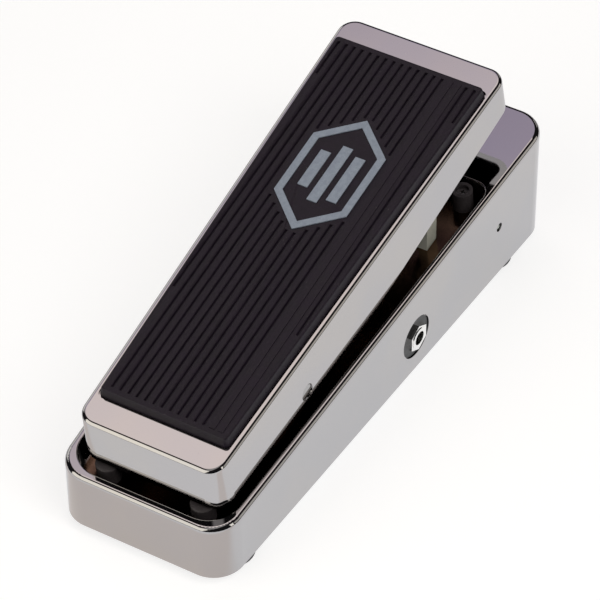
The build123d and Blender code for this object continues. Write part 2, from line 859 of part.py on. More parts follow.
# ================================================================ foot switch
with BuildPart() as foot_switch:
    switch_body_top = -floor_thickness - switch_nut_height
    with BuildSketch(floor_plane.offset(switch_body_top)):
        with Locations((0, switch_along)):
            Rectangle(switch_width, switch_length)
    extrude(amount=-switch_height)
    with BuildSketch(floor_plane.offset(switch_body_top)):
        with Locations((0, switch_along)):
            Circle(switch_thread_radius)
    extrude(amount=switch_thread_top - switch_body_top)
    with BuildSketch(floor_plane.offset(switch_thread_top)):
        with Locations((0, switch_along)):
            Circle(plunger_radius + running_gap)
    extrude(amount=-switch_thread_top - plunger_depth - plunger_travel - over, mode=Mode.SUBTRACT)
    lug_pitch = switch_width / 3
    lug_places = [(lug_pitch * ix, switch_along + lug_pitch * iy) for ix in (-1, 0, 1) for iy in (-1, 0, 1)]
    with BuildSketch(floor_plane.offset(switch_body_top - switch_height)):
        with Locations(*lug_places):
            Rectangle(switch_lug_width, switch_lug_thickness)
    extrude(amount=-switch_lug_height)

with BuildPart() as switch_nuts:
    for low in (-floor_thickness - switch_nut_height, 0):
        with BuildSketch(floor_plane.offset(low)):
            with Locations((0, switch_along)):
                RegularPolygon(switch_nut_flats / 2, 6, major_radius=False)
                Circle(switch_thread_radius + press_gap, mode=Mode.SUBTRACT)
        extrude(amount=switch_nut_height)

with BuildPart() as switch_plunger:
    with BuildSketch(floor_plane.offset(-plunger_depth)):
        with Locations((0, switch_along)):
            Circle(plunger_radius)
    extrude(amount=plunger_top + plunger_depth)
    fillet(switch_plunger.edges().filter_by(GeomType.CIRCLE).sort_by(Axis.Z)[-1], radius=plunger_edge)

with BuildPart() as strike_pad:
    with BuildSketch(treadle_plane.offset(strike_n)):
        with Locations((0, strike_v)):
            Circle(strike_pad_radius)
    extrude(amount=strike_pad_thickness)

# ================================================================ jacks
jack_inner = base_wall + jack_pad_height
with BuildPart() as jack_washers:
    for side in (-1, 1):
        with BuildSketch(wall_plane(side, jack_y, jack_z, jack_recess_depth)):
            Circle(jack_washer_radius)
            Circle(jack_thread_radius + press_gap, mode=Mode.SUBTRACT)
        extrude(amount=jack_washer_thickness)

with BuildPart() as jack_nuts:
    for side in (-1, 1):
        with BuildSketch(wall_plane(side, jack_y, jack_z, jack_recess_depth - jack_washer_thickness)):
            RegularPolygon(jack_nut_flats / 2, 6, major_radius=False, rotation=90)
            Circle(jack_thread_radius + press_gap, mode=Mode.SUBTRACT)
        extrude(amount=jack_nut_height)


def jack(side):
    """Phone jack through a side wall: body inside, threaded sleeve through the wall, bore along it."""
    tip = jack_face - jack_tip_proud
    with BuildPart() as body:
        with BuildSketch(wall_plane(side, jack_y, jack_z, jack_inner)):
            RectangleRounded(jack_body_width, jack_body_height, jack_body_radius)
        extrude(amount=-jack_body_depth)
        with BuildSketch(wall_plane(side, jack_y, jack_z, jack_inner)):
            Circle(jack_thread_radius)
        extrude(amount=jack_inner - tip)
        with BuildSketch(wall_plane(side, jack_y, jack_z, tip)):
            Circle(jack_bore_radius)
        extrude(amount=-jack_bore_length, mode=Mode.SUBTRACT)
    return body


input_jack = jack(1)
output_jack = jack(-1)

with BuildPart() as power_jack:
    with BuildSketch(wall_plane(-1, power_y, power_z, base_wall)):
        Rectangle(power_body_size, power_body_size)
    extrude(amount=-power_body_depth)
    with BuildSketch(wall_plane(-1, power_y, power_z, base_wall)):
        Circle(power_thread_radius)
    extrude(amount=base_wall + power_nut_height + jack_tip_proud)
    with BuildSketch(wall_plane(-1, power_y, power_z, -power_nut_height - jack_tip_proud)):
        Circle(power_bore_radius)
        Circle(power_pin_radius, mode=Mode.SUBTRACT)
    extrude(amount=-power_bore_length, mode=Mode.SUBTRACT)

with BuildPart() as power_nut:
    with BuildSketch(wall_plane(-1, power_y, power_z)):
        RegularPolygon(power_nut_flats / 2, 6, major_radius=False)
        Circle(power_thread_radius + press_gap, mode=Mode.SUBTRACT)
    extrude(amount=power_nut_height)

# ================================================================ side lights
with BuildPart() as light_holders:
    for side in (-1, 1):
        with BuildSketch(wall_plane(side, light_y, light_z, base_wall)):
            Circle(light_holder_radius)
            Circle(light_radius + light_fit, mode=Mode.SUBTRACT)
        extrude(amount=-light_holder_length)
        with BuildSketch(wall_plane(side, light_y, light_z, base_wall)):
            Circle(light_hole_radius - press_gap)
            Circle(light_radius + light_fit, mode=Mode.SUBTRACT)
        extrude(amount=base_wall - light_inset)

with BuildPart() as side_lights:
    for side in (-1, 1):
        with BuildSketch(wall_plane(side, light_y, light_z, base_wall + light_holder_length)):
            Circle(light_radius)
        extrude(amount=light_length - light_radius)
        dome_depth = base_wall + light_holder_length - light_length + light_radius
        dome = wall_plane(side, light_y, light_z, dome_depth)
        with Locations(dome):
            Sphere(light_radius)

# ================================================================ control: potentiometer, pinion and rack
pot_terminals = [
    (pinion_x + step * pot_terminal_pitch, pinion_z - pot_body_radius - over) for step in (-1, 0, 1)
]
with BuildPart() as pot_body:
    with BuildSketch(Plane.XZ.offset(-web_toe_y)):
        with Locations((pinion_x, pinion_z)):
            Circle(pot_body_radius)
    extrude(amount=-pot_body_length)
    with BuildSketch(Plane.XZ.offset(-web_toe_y)):
        with Locations((pinion_x, pinion_z)):
            Circle(pot_thread_radius)
    extrude(amount=web_thickness + pot_nut_height)
    with BuildSketch(Plane.XZ.offset(-web_toe_y - pot_body_length + over)):
        with Locations((pinion_x, pinion_z)):
            Circle(pot_shaft_radius + running_gap)
    extrude(amount=pot_body_length + web_thickness + pot_nut_height, mode=Mode.SUBTRACT)
    with BuildSketch(Plane.XZ.offset(-web_toe_y - 2 * over)):
        with Locations(*pot_terminals):
            Rectangle(pot_terminal_width, pot_terminal_height)
    extrude(amount=-pot_terminal_thickness)

with BuildPart() as pot_nut:
    with BuildSketch(Plane.XZ.offset(-web_heel_y)):
        with Locations((pinion_x, pinion_z)):
            RegularPolygon(pot_nut_flats / 2, 6, major_radius=False)
            Circle(pot_thread_radius + press_gap, mode=Mode.SUBTRACT)
    extrude(amount=pot_nut_height)

with BuildPart() as pot_shaft:
    with BuildSketch(Plane.XZ.offset(-web_toe_y - pot_body_length + 2 * over)):
        with Locations((pinion_x, pinion_z)):
            Circle(pot_shaft_radius)
    extrude(amount=web_toe_y + pot_body_length - 2 * over - pinion_heel_y + over / 2)


def involute(angle):
    """Involute function of a pressure angle."""
    return tan(angle) - angle


def pinion_half_angle(radius):
    """Half of a pinion tooth's angle at a radius."""
    base = pinion_pitch_radius * cos(radians(pressure_angle))
    pitch_half = (tooth_pitch / 2 - gear_backlash) / (2 * pinion_pitch_radius)
    return pitch_half + involute(radians(pressure_angle)) - involute(acos(base / radius))


def polar_point(radius, angle):
    """Point in the plane of the pinion, centred on its axis."""
    return (pinion_x + radius * cos(angle), pinion_z + radius * sin(angle))


with BuildPart() as pinion_gear:
    base_circle = pinion_pitch_radius * cos(radians(pressure_angle))
    tip_circle = pinion_pitch_radius + gear_module
    root_circle = pinion_pitch_radius - tooth_root
    low_radius = base_circle + 0.01
    middle_radius = (low_radius + tip_circle) / 2
    with BuildSketch(Plane.XZ.offset(-pinion_heel_y - pinion_width)):
        with BuildLine():
            for tooth in range(pinion_teeth):
                centre = 2 * pi * tooth / pinion_teeth
                step = pi / pinion_teeth
                low = pinion_half_angle(low_radius)
                middle = pinion_half_angle(middle_radius)
                tip = pinion_half_angle(tip_circle)
                Line(polar_point(root_circle, centre - low), polar_point(low_radius, centre - low))
                ThreePointArc(
                    polar_point(low_radius, centre - low),
                    polar_point(middle_radius, centre - middle),
                    polar_point(tip_circle, centre - tip),
                )
                ThreePointArc(
                    polar_point(tip_circle, centre - tip),
                    polar_point(tip_circle, centre),
                    polar_point(tip_circle, centre + tip),
                )
                ThreePointArc(
                    polar_point(tip_circle, centre + tip),
                    polar_point(middle_radius, centre + middle),
                    polar_point(low_radius, centre + low),
                )
                Line(polar_point(low_radius, centre + low), polar_point(root_circle, centre + low))
                ThreePointArc(
                    polar_point(root_circle, centre + low),
                    polar_point(root_circle, centre + step),
                    polar_point(root_circle, centre + 2 * step - low),
                )
        make_face()
        with Locations((pinion_x, pinion_z)):
            Circle(pot_shaft_radius + press_gap, mode=Mode.SUBTRACT)
    extrude(amount=pinion_width)

rack_teeth_low = pinion_z - rack_up - 2 * tooth_pitch
rack_teeth_high = pinion_z + rack_down + 2 * tooth_pitch
rack_root_x = rack_tip_x + gear_module + tooth_root
rack_pitch_half = (tooth_pitch / 2 - gear_backlash) / 2
rack_lean = tan(radians(pressure_angle))
rack_head_low = pin_z - rack_head_height / 2
with BuildPart() as rack_bar:
    heel_face = Plane.XZ.offset(-rack_y - rack_width / 2)
    with BuildSketch(heel_face):
        with Locations(((rack_root_x + rack_back_x) / 2, (rack_teeth_low + pin_z) / 2)):
            Rectangle(rack_back_x - rack_root_x, pin_z - rack_teeth_low)
        tooth_count = int((rack_teeth_high - rack_teeth_low) / tooth_pitch)
        for tooth in range(-tooth_count, tooth_count):
            centre = pinion_z + (tooth + 0.5) * tooth_pitch
            if rack_teeth_low + tooth_pitch / 2 < centre < rack_teeth_high:
                tip_half = rack_pitch_half - gear_module * rack_lean
                root_half = rack_pitch_half + tooth_root * rack_lean
                with BuildLine():
                    Polyline(
                        (rack_root_x + press_gap, centre - root_half),
                        (rack_root_x, centre - root_half),
                        (rack_tip_x, centre - tip_half),
                        (rack_tip_x, centre + tip_half),
                        (rack_root_x, centre + root_half),
                        (rack_root_x + press_gap, centre + root_half),
                        close=True,
                    )
                make_face()
    extrude(amount=rack_width)
    with BuildSketch(Plane.XZ.offset(-rack_y - rack_head_width / 2)):
        with Locations(((rack_root_x - rack_head_lip + rack_back_x) / 2, pin_z)):
            Rectangle(rack_back_x - rack_root_x + rack_head_lip, rack_head_height)
    extrude(amount=rack_head_width)
    fillet(rack_bar.edges().filter_by(Axis.X).group_by(Axis.Z)[-1], radius=rack_head_radius)
    with BuildSketch(Plane.YZ.offset(rack_tip_x - over)):
        with Locations((pin_y + rack_slot_travel / 3, pin_z)):
            slot_radius = rack_pin_radius + rack_slot_gap
            SlotCenterToCenter(2 * rack_slot_travel, 2 * slot_radius)
    extrude(amount=rack_thickness + 2 * over, mode=Mode.SUBTRACT)

with BuildPart() as rack_guide:
    guide_low_x = rack_back_x + rack_slide_gap / 2
    with BuildSketch(Plane.XY.offset(pinion_z - guide_height / 2)):
        with Locations((guide_low_x + guide_thickness / 2, (rack_y - rack_width / 2 + web_heel_y) / 2)):
            Rectangle(guide_thickness, web_heel_y - rack_y + rack_width / 2)
    extrude(amount=guide_height)
    with BuildSketch(Plane.XZ.offset(-web_heel_y - over)):
        with Locations(*guide_screw_places):
            Circle(small_shank + press_gap)
    extrude(amount=guide_screw_grip + 2 * over, mode=Mode.SUBTRACT)

with BuildPart() as guide_screws:
    for x, z in guide_screw_places:
        place = Plane(origin=(x, web_toe_y, z), x_dir=(1, 0, 0), z_dir=(0, 1, 0))
        screw(place, guide_screw_head, small_head_height, small_shank, web_thickness + guide_screw_grip)

# ================================================================ rack bracket on the treadle
bracket_x = rack_tip_x - bracket_gap - bracket_sheet
with BuildPart() as rack_bracket:
    with BuildSketch(treadle_plane.offset(-treadle_crown)):
        with Locations((bracket_x + bracket_sheet - bracket_flange / 2, pin_v)):
            Rectangle(bracket_flange, bracket_width)
    extrude(amount=-bracket_sheet)
    with BuildSketch(Plane.YZ.offset(bracket_x)):
        top_heel = treadle_yz(pin_v - bracket_width / 2, -treadle_crown)
        top_toe = treadle_yz(pin_v + bracket_width / 2, -treadle_crown)
        with BuildLine():
            Polyline(
                top_heel,
                (pin_y - 2 * rack_pin_radius, pin_z),
                (pin_y + 2 * rack_pin_radius, pin_z),
                top_toe,
                close=True,
            )
        make_face()
        with Locations((pin_y, pin_z)):
            Circle(2 * rack_pin_radius)
            Circle(rack_pin_radius + press_gap, mode=Mode.SUBTRACT)
    extrude(amount=bracket_sheet)
    with BuildSketch(treadle_plane.offset(-treadle_crown)):
        with Locations(*bracket_screws):
            Circle(small_shank + hand_gap)
    extrude(amount=-bracket_sheet, mode=Mode.SUBTRACT)

with BuildPart() as bracket_screw_pair:
    for x, v in bracket_screws:
        under = -treadle_crown - bracket_sheet
        place = Plane(
            origin=treadle_plane.from_local_coords(Vector(x, v, under)),
            x_dir=(1, 0, 0),
            z_dir=-treadle_plane.z_dir,
        )
        screw(place, small_head, small_head_height, small_shank, bracket_sheet + bracket_pilot_depth)

with BuildPart() as rack_pin:
    pin_end_x = rack_back_x + clip_thickness + 2 * over
    with BuildSketch(Plane.YZ.offset(bracket_x)):
        with Locations((pin_y, pin_z)):
            Circle(rack_pin_radius)
    extrude(amount=pin_end_x - bracket_x)
    chamfer(rack_pin.edges().filter_by(GeomType.CIRCLE).sort_by(Axis.X)[-1], length=pin_chamfer)

with BuildPart() as pin_clip:
    with BuildSketch(Plane.YZ.offset(rack_back_x + rack_slide_gap)):
        with Locations((pin_y, pin_z)):
            Circle(clip_radius)
            Circle(rack_pin_radius + press_gap, mode=Mode.SUBTRACT)
            with Locations((0, -clip_radius)):
                Rectangle(rack_pin_radius, clip_radius, mode=Mode.SUBTRACT)
    extrude(amount=clip_thickness)

# ================================================================ battery
battery_z = plate_top_z + battery_foam
battery_toe_y = battery_heel_y + battery_length
with BuildPart() as battery_foam_pad:
    with BuildSketch(Plane.XY.offset(plate_top_z)):
        with Locations((0, battery_heel_y + battery_length / 2)):
            RectangleRounded(battery_width, battery_length, foam_corner)
    extrude(amount=battery_foam)

with BuildPart() as battery:
    battery_middle_z = battery_z + battery_height / 2
    with BuildSketch(Plane.XZ.offset(-battery_toe_y)):
        with Locations((0, battery_middle_z)):
            RectangleRounded(battery_width, battery_height, battery_corner)
    extrude(amount=battery_length)
    stud_places = [(step * battery_stud_spacing / 2, battery_middle_z) for step in (-1, 1)]
    with BuildSketch(Plane.XZ.offset(-battery_toe_y)):
        with Locations(*stud_places):
            Circle(battery_stud_radius)
    extrude(amount=-battery_stud_height)

with BuildPart() as battery_snap:
    with BuildSketch(Plane.XZ.offset(-battery_toe_y)):
        with Locations((0, battery_middle_z)):
            snap_width = battery_width - 2 * snap_margin_x
            RectangleRounded(snap_width, battery_height - 2 * snap_margin_z, battery_corner)
    extrude(amount=-snap_thickness)
    with BuildSketch(Plane.XZ.offset(-battery_toe_y)):
        with Locations(*stud_places):
            Circle(battery_stud_radius + press_gap)
    extrude(amount=-battery_stud_height - press_gap, mode=Mode.SUBTRACT)

# ================================================================ circuit board
with BuildPart() as circuit_board:
    with BuildSketch(Plane.XY.offset(board_under_z)):
        with Locations((board_x, board_y)):
            RectangleRounded(board_width, board_length, board_corner)
        with Locations(*board_holes):
            Circle(small_shank + hand_gap, mode=Mode.SUBTRACT)
    extrude(amount=board_thickness)

with BuildPart() as board_screws:
    for x, y in board_holes:
        place = Plane(origin=(x, y, board_under_z), x_dir=(1, 0, 0), z_dir=(0, 0, -1))
        grip = board_thickness + 2 * board_boss_radius - over
        screw(place, small_head, small_head_height, small_shank, grip)

with BuildPart() as inductor:
    with BuildSketch(Plane.XY.offset(board_under_z)):
        with Locations((board_x + inductor_offset[0], board_y + inductor_offset[1])):
            Circle(inductor_radius)
    extrude(amount=-inductor_height)
    fillet(inductor.edges().filter_by(GeomType.CIRCLE).sort_by(Axis.Z)[0], radius=2 * component_edge)

with BuildPart() as film_capacitors:
    with BuildSketch(Plane.XY.offset(board_under_z)):
        with Locations((board_x + film_offset[0], board_y + film_offset[1])):
            with GridLocations(0, film_pitch, 1, 4):
                RectangleRounded(film_length, film_thickness, component_edge)
    extrude(amount=-film_height)

with BuildPart() as can_capacitors:
    with BuildSketch(Plane.XY.offset(board_under_z)):
        with Locations((board_x + can_offset[0], board_y + can_offset[1])):
            with GridLocations(0, can_pitch, 1, 2):
                Circle(can_radius)
    extrude(amount=-can_height)
    fillet(can_capacitors.faces().sort_by(Axis.Z)[:2].edges(), radius=component_edge)

with BuildPart() as transistors:
    transistor_middle = (board_x + transistor_offset[0], board_y + transistor_offset[1])
    with BuildSketch(Plane.XY.offset(board_under_z - transistor_stand)):
        with Locations(transistor_middle):
            with GridLocations(transistor_pitch, 0, 2, 1):
                Circle(transistor_radius)
                with Locations((0, -transistor_radius)):
                    Rectangle(2 * transistor_radius, transistor_radius, mode=Mode.SUBTRACT)
    extrude(amount=-transistor_height)
    with BuildSketch(Plane.XY.offset(board_under_z)):
        with Locations(transistor_middle):
            with GridLocations(transistor_pitch, 0, 2, 1):
                with GridLocations(transistor_leg_pitch, 0, 3, 1):
                    Rectangle(transistor_leg, transistor_leg)
    extrude(amount=-transistor_stand)

with BuildPart() as resistors:
    with BuildSketch(Plane.XZ.offset(-(board_y + resistor_offset[1]) + resistor_length / 2)):
        with Locations((board_x + resistor_offset[0], board_under_z - resistor_radius)):
            with GridLocations(resistor_pitch, 0, resistor_count, 1):
                Circle(resistor_radius)
    extrude(amount=-resistor_length)


# ================================================================ leads
def lead(points):
    """Insulated lead along straight runs joined by arcs as large as the shorter run at each corner allows."""
    places = [Vector(point) for point in points]
    radii = []
    for before, here, after in zip(places, places[1:], places[2:]):
        turn = radians((here - before).get_angle(after - here))
        shorter = min((here - before).length, (after - here).length)
        radii.append(lead_share * shorter / tan(turn / 2))
    with BuildPart() as tube:
        with BuildLine() as route:
            FilletPolyline(*places, radius=radii)
        with BuildSketch(Plane(origin=route.line @ 0, z_dir=route.line % 0)):
            Circle(lead_radius)
        sweep(path=route.line)
    return tube.part


def join_leads(routes):
    """One node from several leads, each its own solid."""
    with BuildPart() as group:
        for points in routes:
            add(lead(points))
    return group


def pad_x(first, count):
    """X of a solder pad in a row on the board."""
    return first + count * pad_pitch


def to_heel_pads(x, low_y):
    """End of a lead that rises to the heel edge of the board."""
    return [(x, low_y, lead_low_z), (x, heel_pads_y, lead_low_z + lead_exit), (x, heel_pads_y, board_under_z)]


snap_y = battery_toe_y + snap_thickness
battery_routes = [
    [
        (step * snap_lead_x, snap_y, battery_middle_z),
        (step * snap_lead_x, snap_y + lead_exit, battery_middle_z),
    ]
    + to_heel_pads(pad_x(battery_pads_x, (1 + step) / 2), jack_y + lead_exit)
    for step in (-1, 1)
]
battery_leads = join_leads(battery_routes)

jack_routes = []
for side, pads_x in ((-1, output_pads_x), (1, input_pads_x)):
    for step in (-1, 1):
        lead_z = jack_z - jack_body_height / 4
        exit_z = lead_z + step * lead_exit / 2
        back = wall_plane(side, jack_y + jack_body_width / 4, exit_z, jack_inner + jack_body_depth)
        near = back.offset(-lead_exit).origin
        x = pad_x(pads_x, (1 + step) / 2)
        near_pad = (near.X + (x - near.X) / 4, heel_pads_y - 1.5 * over, near.Z - lead_exit / 2)
        jack_routes.append(
            [
                back.origin,
                near,
                near_pad,
                (x, heel_pads_y, near.Z - lead_exit / 2 - over),
                (x, heel_pads_y, board_under_z),
            ]
        )
jack_leads = join_leads(jack_routes)

power_routes = []
for step in (-1, 1):
    back = wall_plane(-1, power_y, power_z + step * power_body_size / 4, base_wall + power_body_depth)
    near = back.offset(-lead_exit).origin
    x = pad_x(power_pads_x, (1 + step) / 2)
    power_routes.append([back.origin, near] + to_heel_pads(x, jack_y + lead_exit))
power_leads = join_leads(power_routes)

pot_routes = []
terminal_y = web_toe_y + 2 * over + pot_terminal_thickness / 2
turning_x = pot_terminals[0][0] - lead_exit
for count, (x, z) in enumerate(pot_terminals):
    top = z - pot_terminal_height / 2
    low = top - lead_exit
    end_x = pad_x(pot_pads_x, 2 - count)
    pot_routes.append(
        [
            (x, terminal_y, top),
            (x, terminal_y, low),
            (turning_x, terminal_y + count * pad_pitch, low),
            (end_x, toe_pads_y, low + (2 - count) * lead_step),
            (end_x, toe_pads_y, board_under_z),
        ]
    )
pot_leads = join_leads(pot_routes)

switch_routes = []
lug_low = switch_body_top - switch_height - switch_lug_height
for count in range(3):
    lug = Vector((count - 1) * lug_pitch, switch_along - lug_pitch, lug_low)
    start = floor_plane.from_local_coords(lug)
    near = floor_plane.from_local_coords(lug - Vector(0, 0, lead_exit + over))
    end_x = pad_x(switch_pads_x, count)
    switch_routes.append(
        [
            start,
            near,
            (end_x, toe_pads_y, near.Z - over),
            (end_x, toe_pads_y, board_under_z),
        ]
    )
switch_leads = join_leads(switch_routes)

nodes = {
    "base_housing": base_housing,
    "bottom_plate": bottom_plate,
    "rubber_feet": rubber_feet,
    "foot_screws": foot_screws,
    "toe_bumpers": toe_bumpers,
    "bumper_screws": bumper_screws,
    "heel_pads": heel_pads,
    "pivot_bushings": pivot_bushings,
    "foot_switch": foot_switch,
    "switch_nuts": switch_nuts,
    "switch_plunger": switch_plunger,
    "input_jack": input_jack,
    "output_jack": output_jack,
    "jack_washers": jack_washers,
    "jack_nuts": jack_nuts,
    "power_jack": power_jack,
    "power_nut": power_nut,
    "light_holders": light_holders,
    "side_lights": side_lights,
    "pot_body": pot_body,
    "pot_nut": pot_nut,
    "pot_shaft": pot_shaft,
    "pinion_gear": pinion_gear,
    "rack_bar": rack_bar,
    "rack_guide": rack_guide,
    "guide_screws": guide_screws,
    "battery_foam_pad": battery_foam_pad,
    "battery": battery,
    "battery_snap": battery_snap,
    "circuit_board": circuit_board,
    "board_screws": board_screws,
    "inductor": inductor,
    "film_capacitors": film_capacitors,
    "can_capacitors": can_capacitors,
    "transistors": transistors,
    "resistors": resistors,
    "battery_leads": battery_leads,
    "jack_leads": jack_leads,
    "power_leads": power_leads,
    "pot_leads": pot_leads,
    "switch_leads": switch_leads,
    "treadle": treadle,
    "tread_pad": tread_pad,
    "emblem": emblem,
    "pivot_shaft": pivot_shaft,
    "strike_pad": strike_pad,
    "rack_bracket": rack_bracket,
    "bracket_screws": bracket_screw_pair,
    "rack_pin": rack_pin,
    "pin_clip": pin_clip,
}
for node_name, node in nodes.items():
    node.part.label = node_name
    export_step(node.part, f"parts/{node_name}.step")

print("rack ratio (m per radian)", rack_ratio / 1000)
print("pinion ratio", -rack_ratio / pinion_pitch_radius)
print("rack pin", pin_y, pin_z, "pinion axis", pinion_x, pinion_z)
print("switch axis", floor_plane.from_local_coords(Vector(0, switch_along, 0)), floor_plane.z_dir)
print("bumper height", bumper_height, "heel pad height", heel_pad_height)
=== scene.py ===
"""Looks of a rocker effects pedal: plated castings, ribbed rubber tread, hardware and a soft studio."""

import logging
import math
from dataclasses import dataclass
from enum import Enum
from typing import ClassVar

import bmesh
import bpy
from mathutils import Euler, Matrix, Quaternion, Vector


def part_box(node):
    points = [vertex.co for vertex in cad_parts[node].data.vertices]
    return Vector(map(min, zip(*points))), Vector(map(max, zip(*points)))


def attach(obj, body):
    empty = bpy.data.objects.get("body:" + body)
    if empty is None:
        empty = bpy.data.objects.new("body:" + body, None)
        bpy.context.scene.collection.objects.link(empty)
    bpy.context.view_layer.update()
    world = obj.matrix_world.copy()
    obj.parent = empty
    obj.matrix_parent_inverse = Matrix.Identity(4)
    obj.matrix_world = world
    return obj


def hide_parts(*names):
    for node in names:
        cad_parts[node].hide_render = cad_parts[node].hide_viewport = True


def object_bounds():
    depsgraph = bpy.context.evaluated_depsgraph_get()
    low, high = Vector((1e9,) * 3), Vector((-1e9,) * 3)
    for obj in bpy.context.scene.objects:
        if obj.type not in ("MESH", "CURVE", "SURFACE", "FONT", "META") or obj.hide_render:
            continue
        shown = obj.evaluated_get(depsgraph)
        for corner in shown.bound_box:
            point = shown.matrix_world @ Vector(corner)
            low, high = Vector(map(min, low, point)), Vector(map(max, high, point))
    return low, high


log = logging.getLogger("rocker_pedal")

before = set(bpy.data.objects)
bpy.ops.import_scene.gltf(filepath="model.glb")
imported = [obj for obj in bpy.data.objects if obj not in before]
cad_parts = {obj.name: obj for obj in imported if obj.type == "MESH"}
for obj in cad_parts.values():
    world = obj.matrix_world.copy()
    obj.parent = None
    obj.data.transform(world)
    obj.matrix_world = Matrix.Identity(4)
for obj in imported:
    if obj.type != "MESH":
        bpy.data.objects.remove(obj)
cad_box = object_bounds()

MM = 0.001
Colour = tuple[float, float, float]


class Body(Enum):
    """The moving bodies that new pieces ride on."""

    BASE = "root"
    TREADLE = "treadle"
    RACK = "rack"
    PINION = "pinion"
    PLUNGER = "plunger"


class Graph:
    """Adds and joins the nodes of one node tree."""

    def __init__(self, tree: bpy.types.NodeTree) -> None:
        """Takes the tree to work on.

        Args:
            tree: a material's, world's or group's node tree.
        """
        self.tree = tree

    def add(self, kind: str, inputs: dict | None = None, **settings: object) -> bpy.types.Node:
        """Adds one node.

        Args:
            kind: the node's type name.
            inputs: values or sockets for its inputs, by name or number.
            settings: properties of the node itself.

        Returns:
            The new node.
        """
        node = self.tree.nodes.new(kind)
        for name, value in settings.items():
            setattr(node, name, value)
        for name, value in (inputs or {}).items():
            self.feed(node.inputs[name], value)
        return node

    def feed(self, socket: bpy.types.NodeSocket, value: object) -> None:
        """Links a socket to an input, or sets the input's own value."""
        if isinstance(value, bpy.types.NodeSocket):
            self.tree.links.new(value, socket)
        else:
            socket.default_value = value

    def maths(self, operation: str, first: object, second: object = 0.0, clamp: bool = False) -> bpy.types.NodeSocket:
        """Output of one Math node."""
        node = self.add("ShaderNodeMath", {0: first, 1: second}, operation=operation, use_clamp=clamp)
        return node.outputs[0]

    def dot(self, first: object, second: object) -> bpy.types.NodeSocket:
        """Dot product of two vectors."""
        node = self.add("ShaderNodeVectorMath", {0: first, 1: second}, operation="DOT_PRODUCT")
        return node.outputs["Value"]

    def noise(self, vector: object, scale: object, detail: float = 3.0, rough: float = 0.5) -> bpy.types.NodeSocket:
        """Value of a noise pattern."""
        inputs = {"Vector": vector, "Scale": scale, "Detail": detail, "Roughness": rough}
        return self.add("ShaderNodeTexNoise", inputs).outputs["Fac"]

    def spread(self, value: object, low: float, high: float, start: float = 0.0, end: float = 1.0) -> bpy.types.NodeSocket:
        """Smoothly maps low..high to start..end."""
        inputs = {"Value": value, "From Min": low, "From Max": high, "To Min": start, "To Max": end}
        return self.add("ShaderNodeMapRange", inputs, interpolation_type="SMOOTHSTEP").outputs["Result"]

    def blend(self, share: object, first: object, second: object) -> bpy.types.NodeSocket:
        """Colour between two colours."""
        node = self.add("ShaderNodeMix", {0: share}, data_type="RGBA")
        self.feed(node.inputs[6], opaque(first))
        self.feed(node.inputs[7], opaque(second))
        return node.outputs[2]

    def stretch(self, vector: object, scale: Colour, turn: Colour = (0.0, 0.0, 0.0)) -> bpy.types.NodeSocket:
        """Coordinates scaled and turned by a Mapping node."""
        node = self.add("ShaderNodeMapping", {"Vector": vector, "Rotation": turn, "Scale": scale})
        return node.outputs["Vector"]

    def bump(self, height: object, depth: float, normal: object | None = None) -> bpy.types.NodeSocket:
        """Normal bent by a height whose full range is depth metres."""
        inputs = {"Height": height, "Distance": depth}
        if normal is not None:
            inputs["Normal"] = normal
        return self.add("ShaderNodeBump", inputs).outputs["Normal"]


def opaque(colour: object) -> object:
    """Adds an alpha of 1 to a plain colour and leaves a socket alone."""
    if isinstance(colour, bpy.types.NodeSocket):
        return colour
    return (*colour, 1.0)


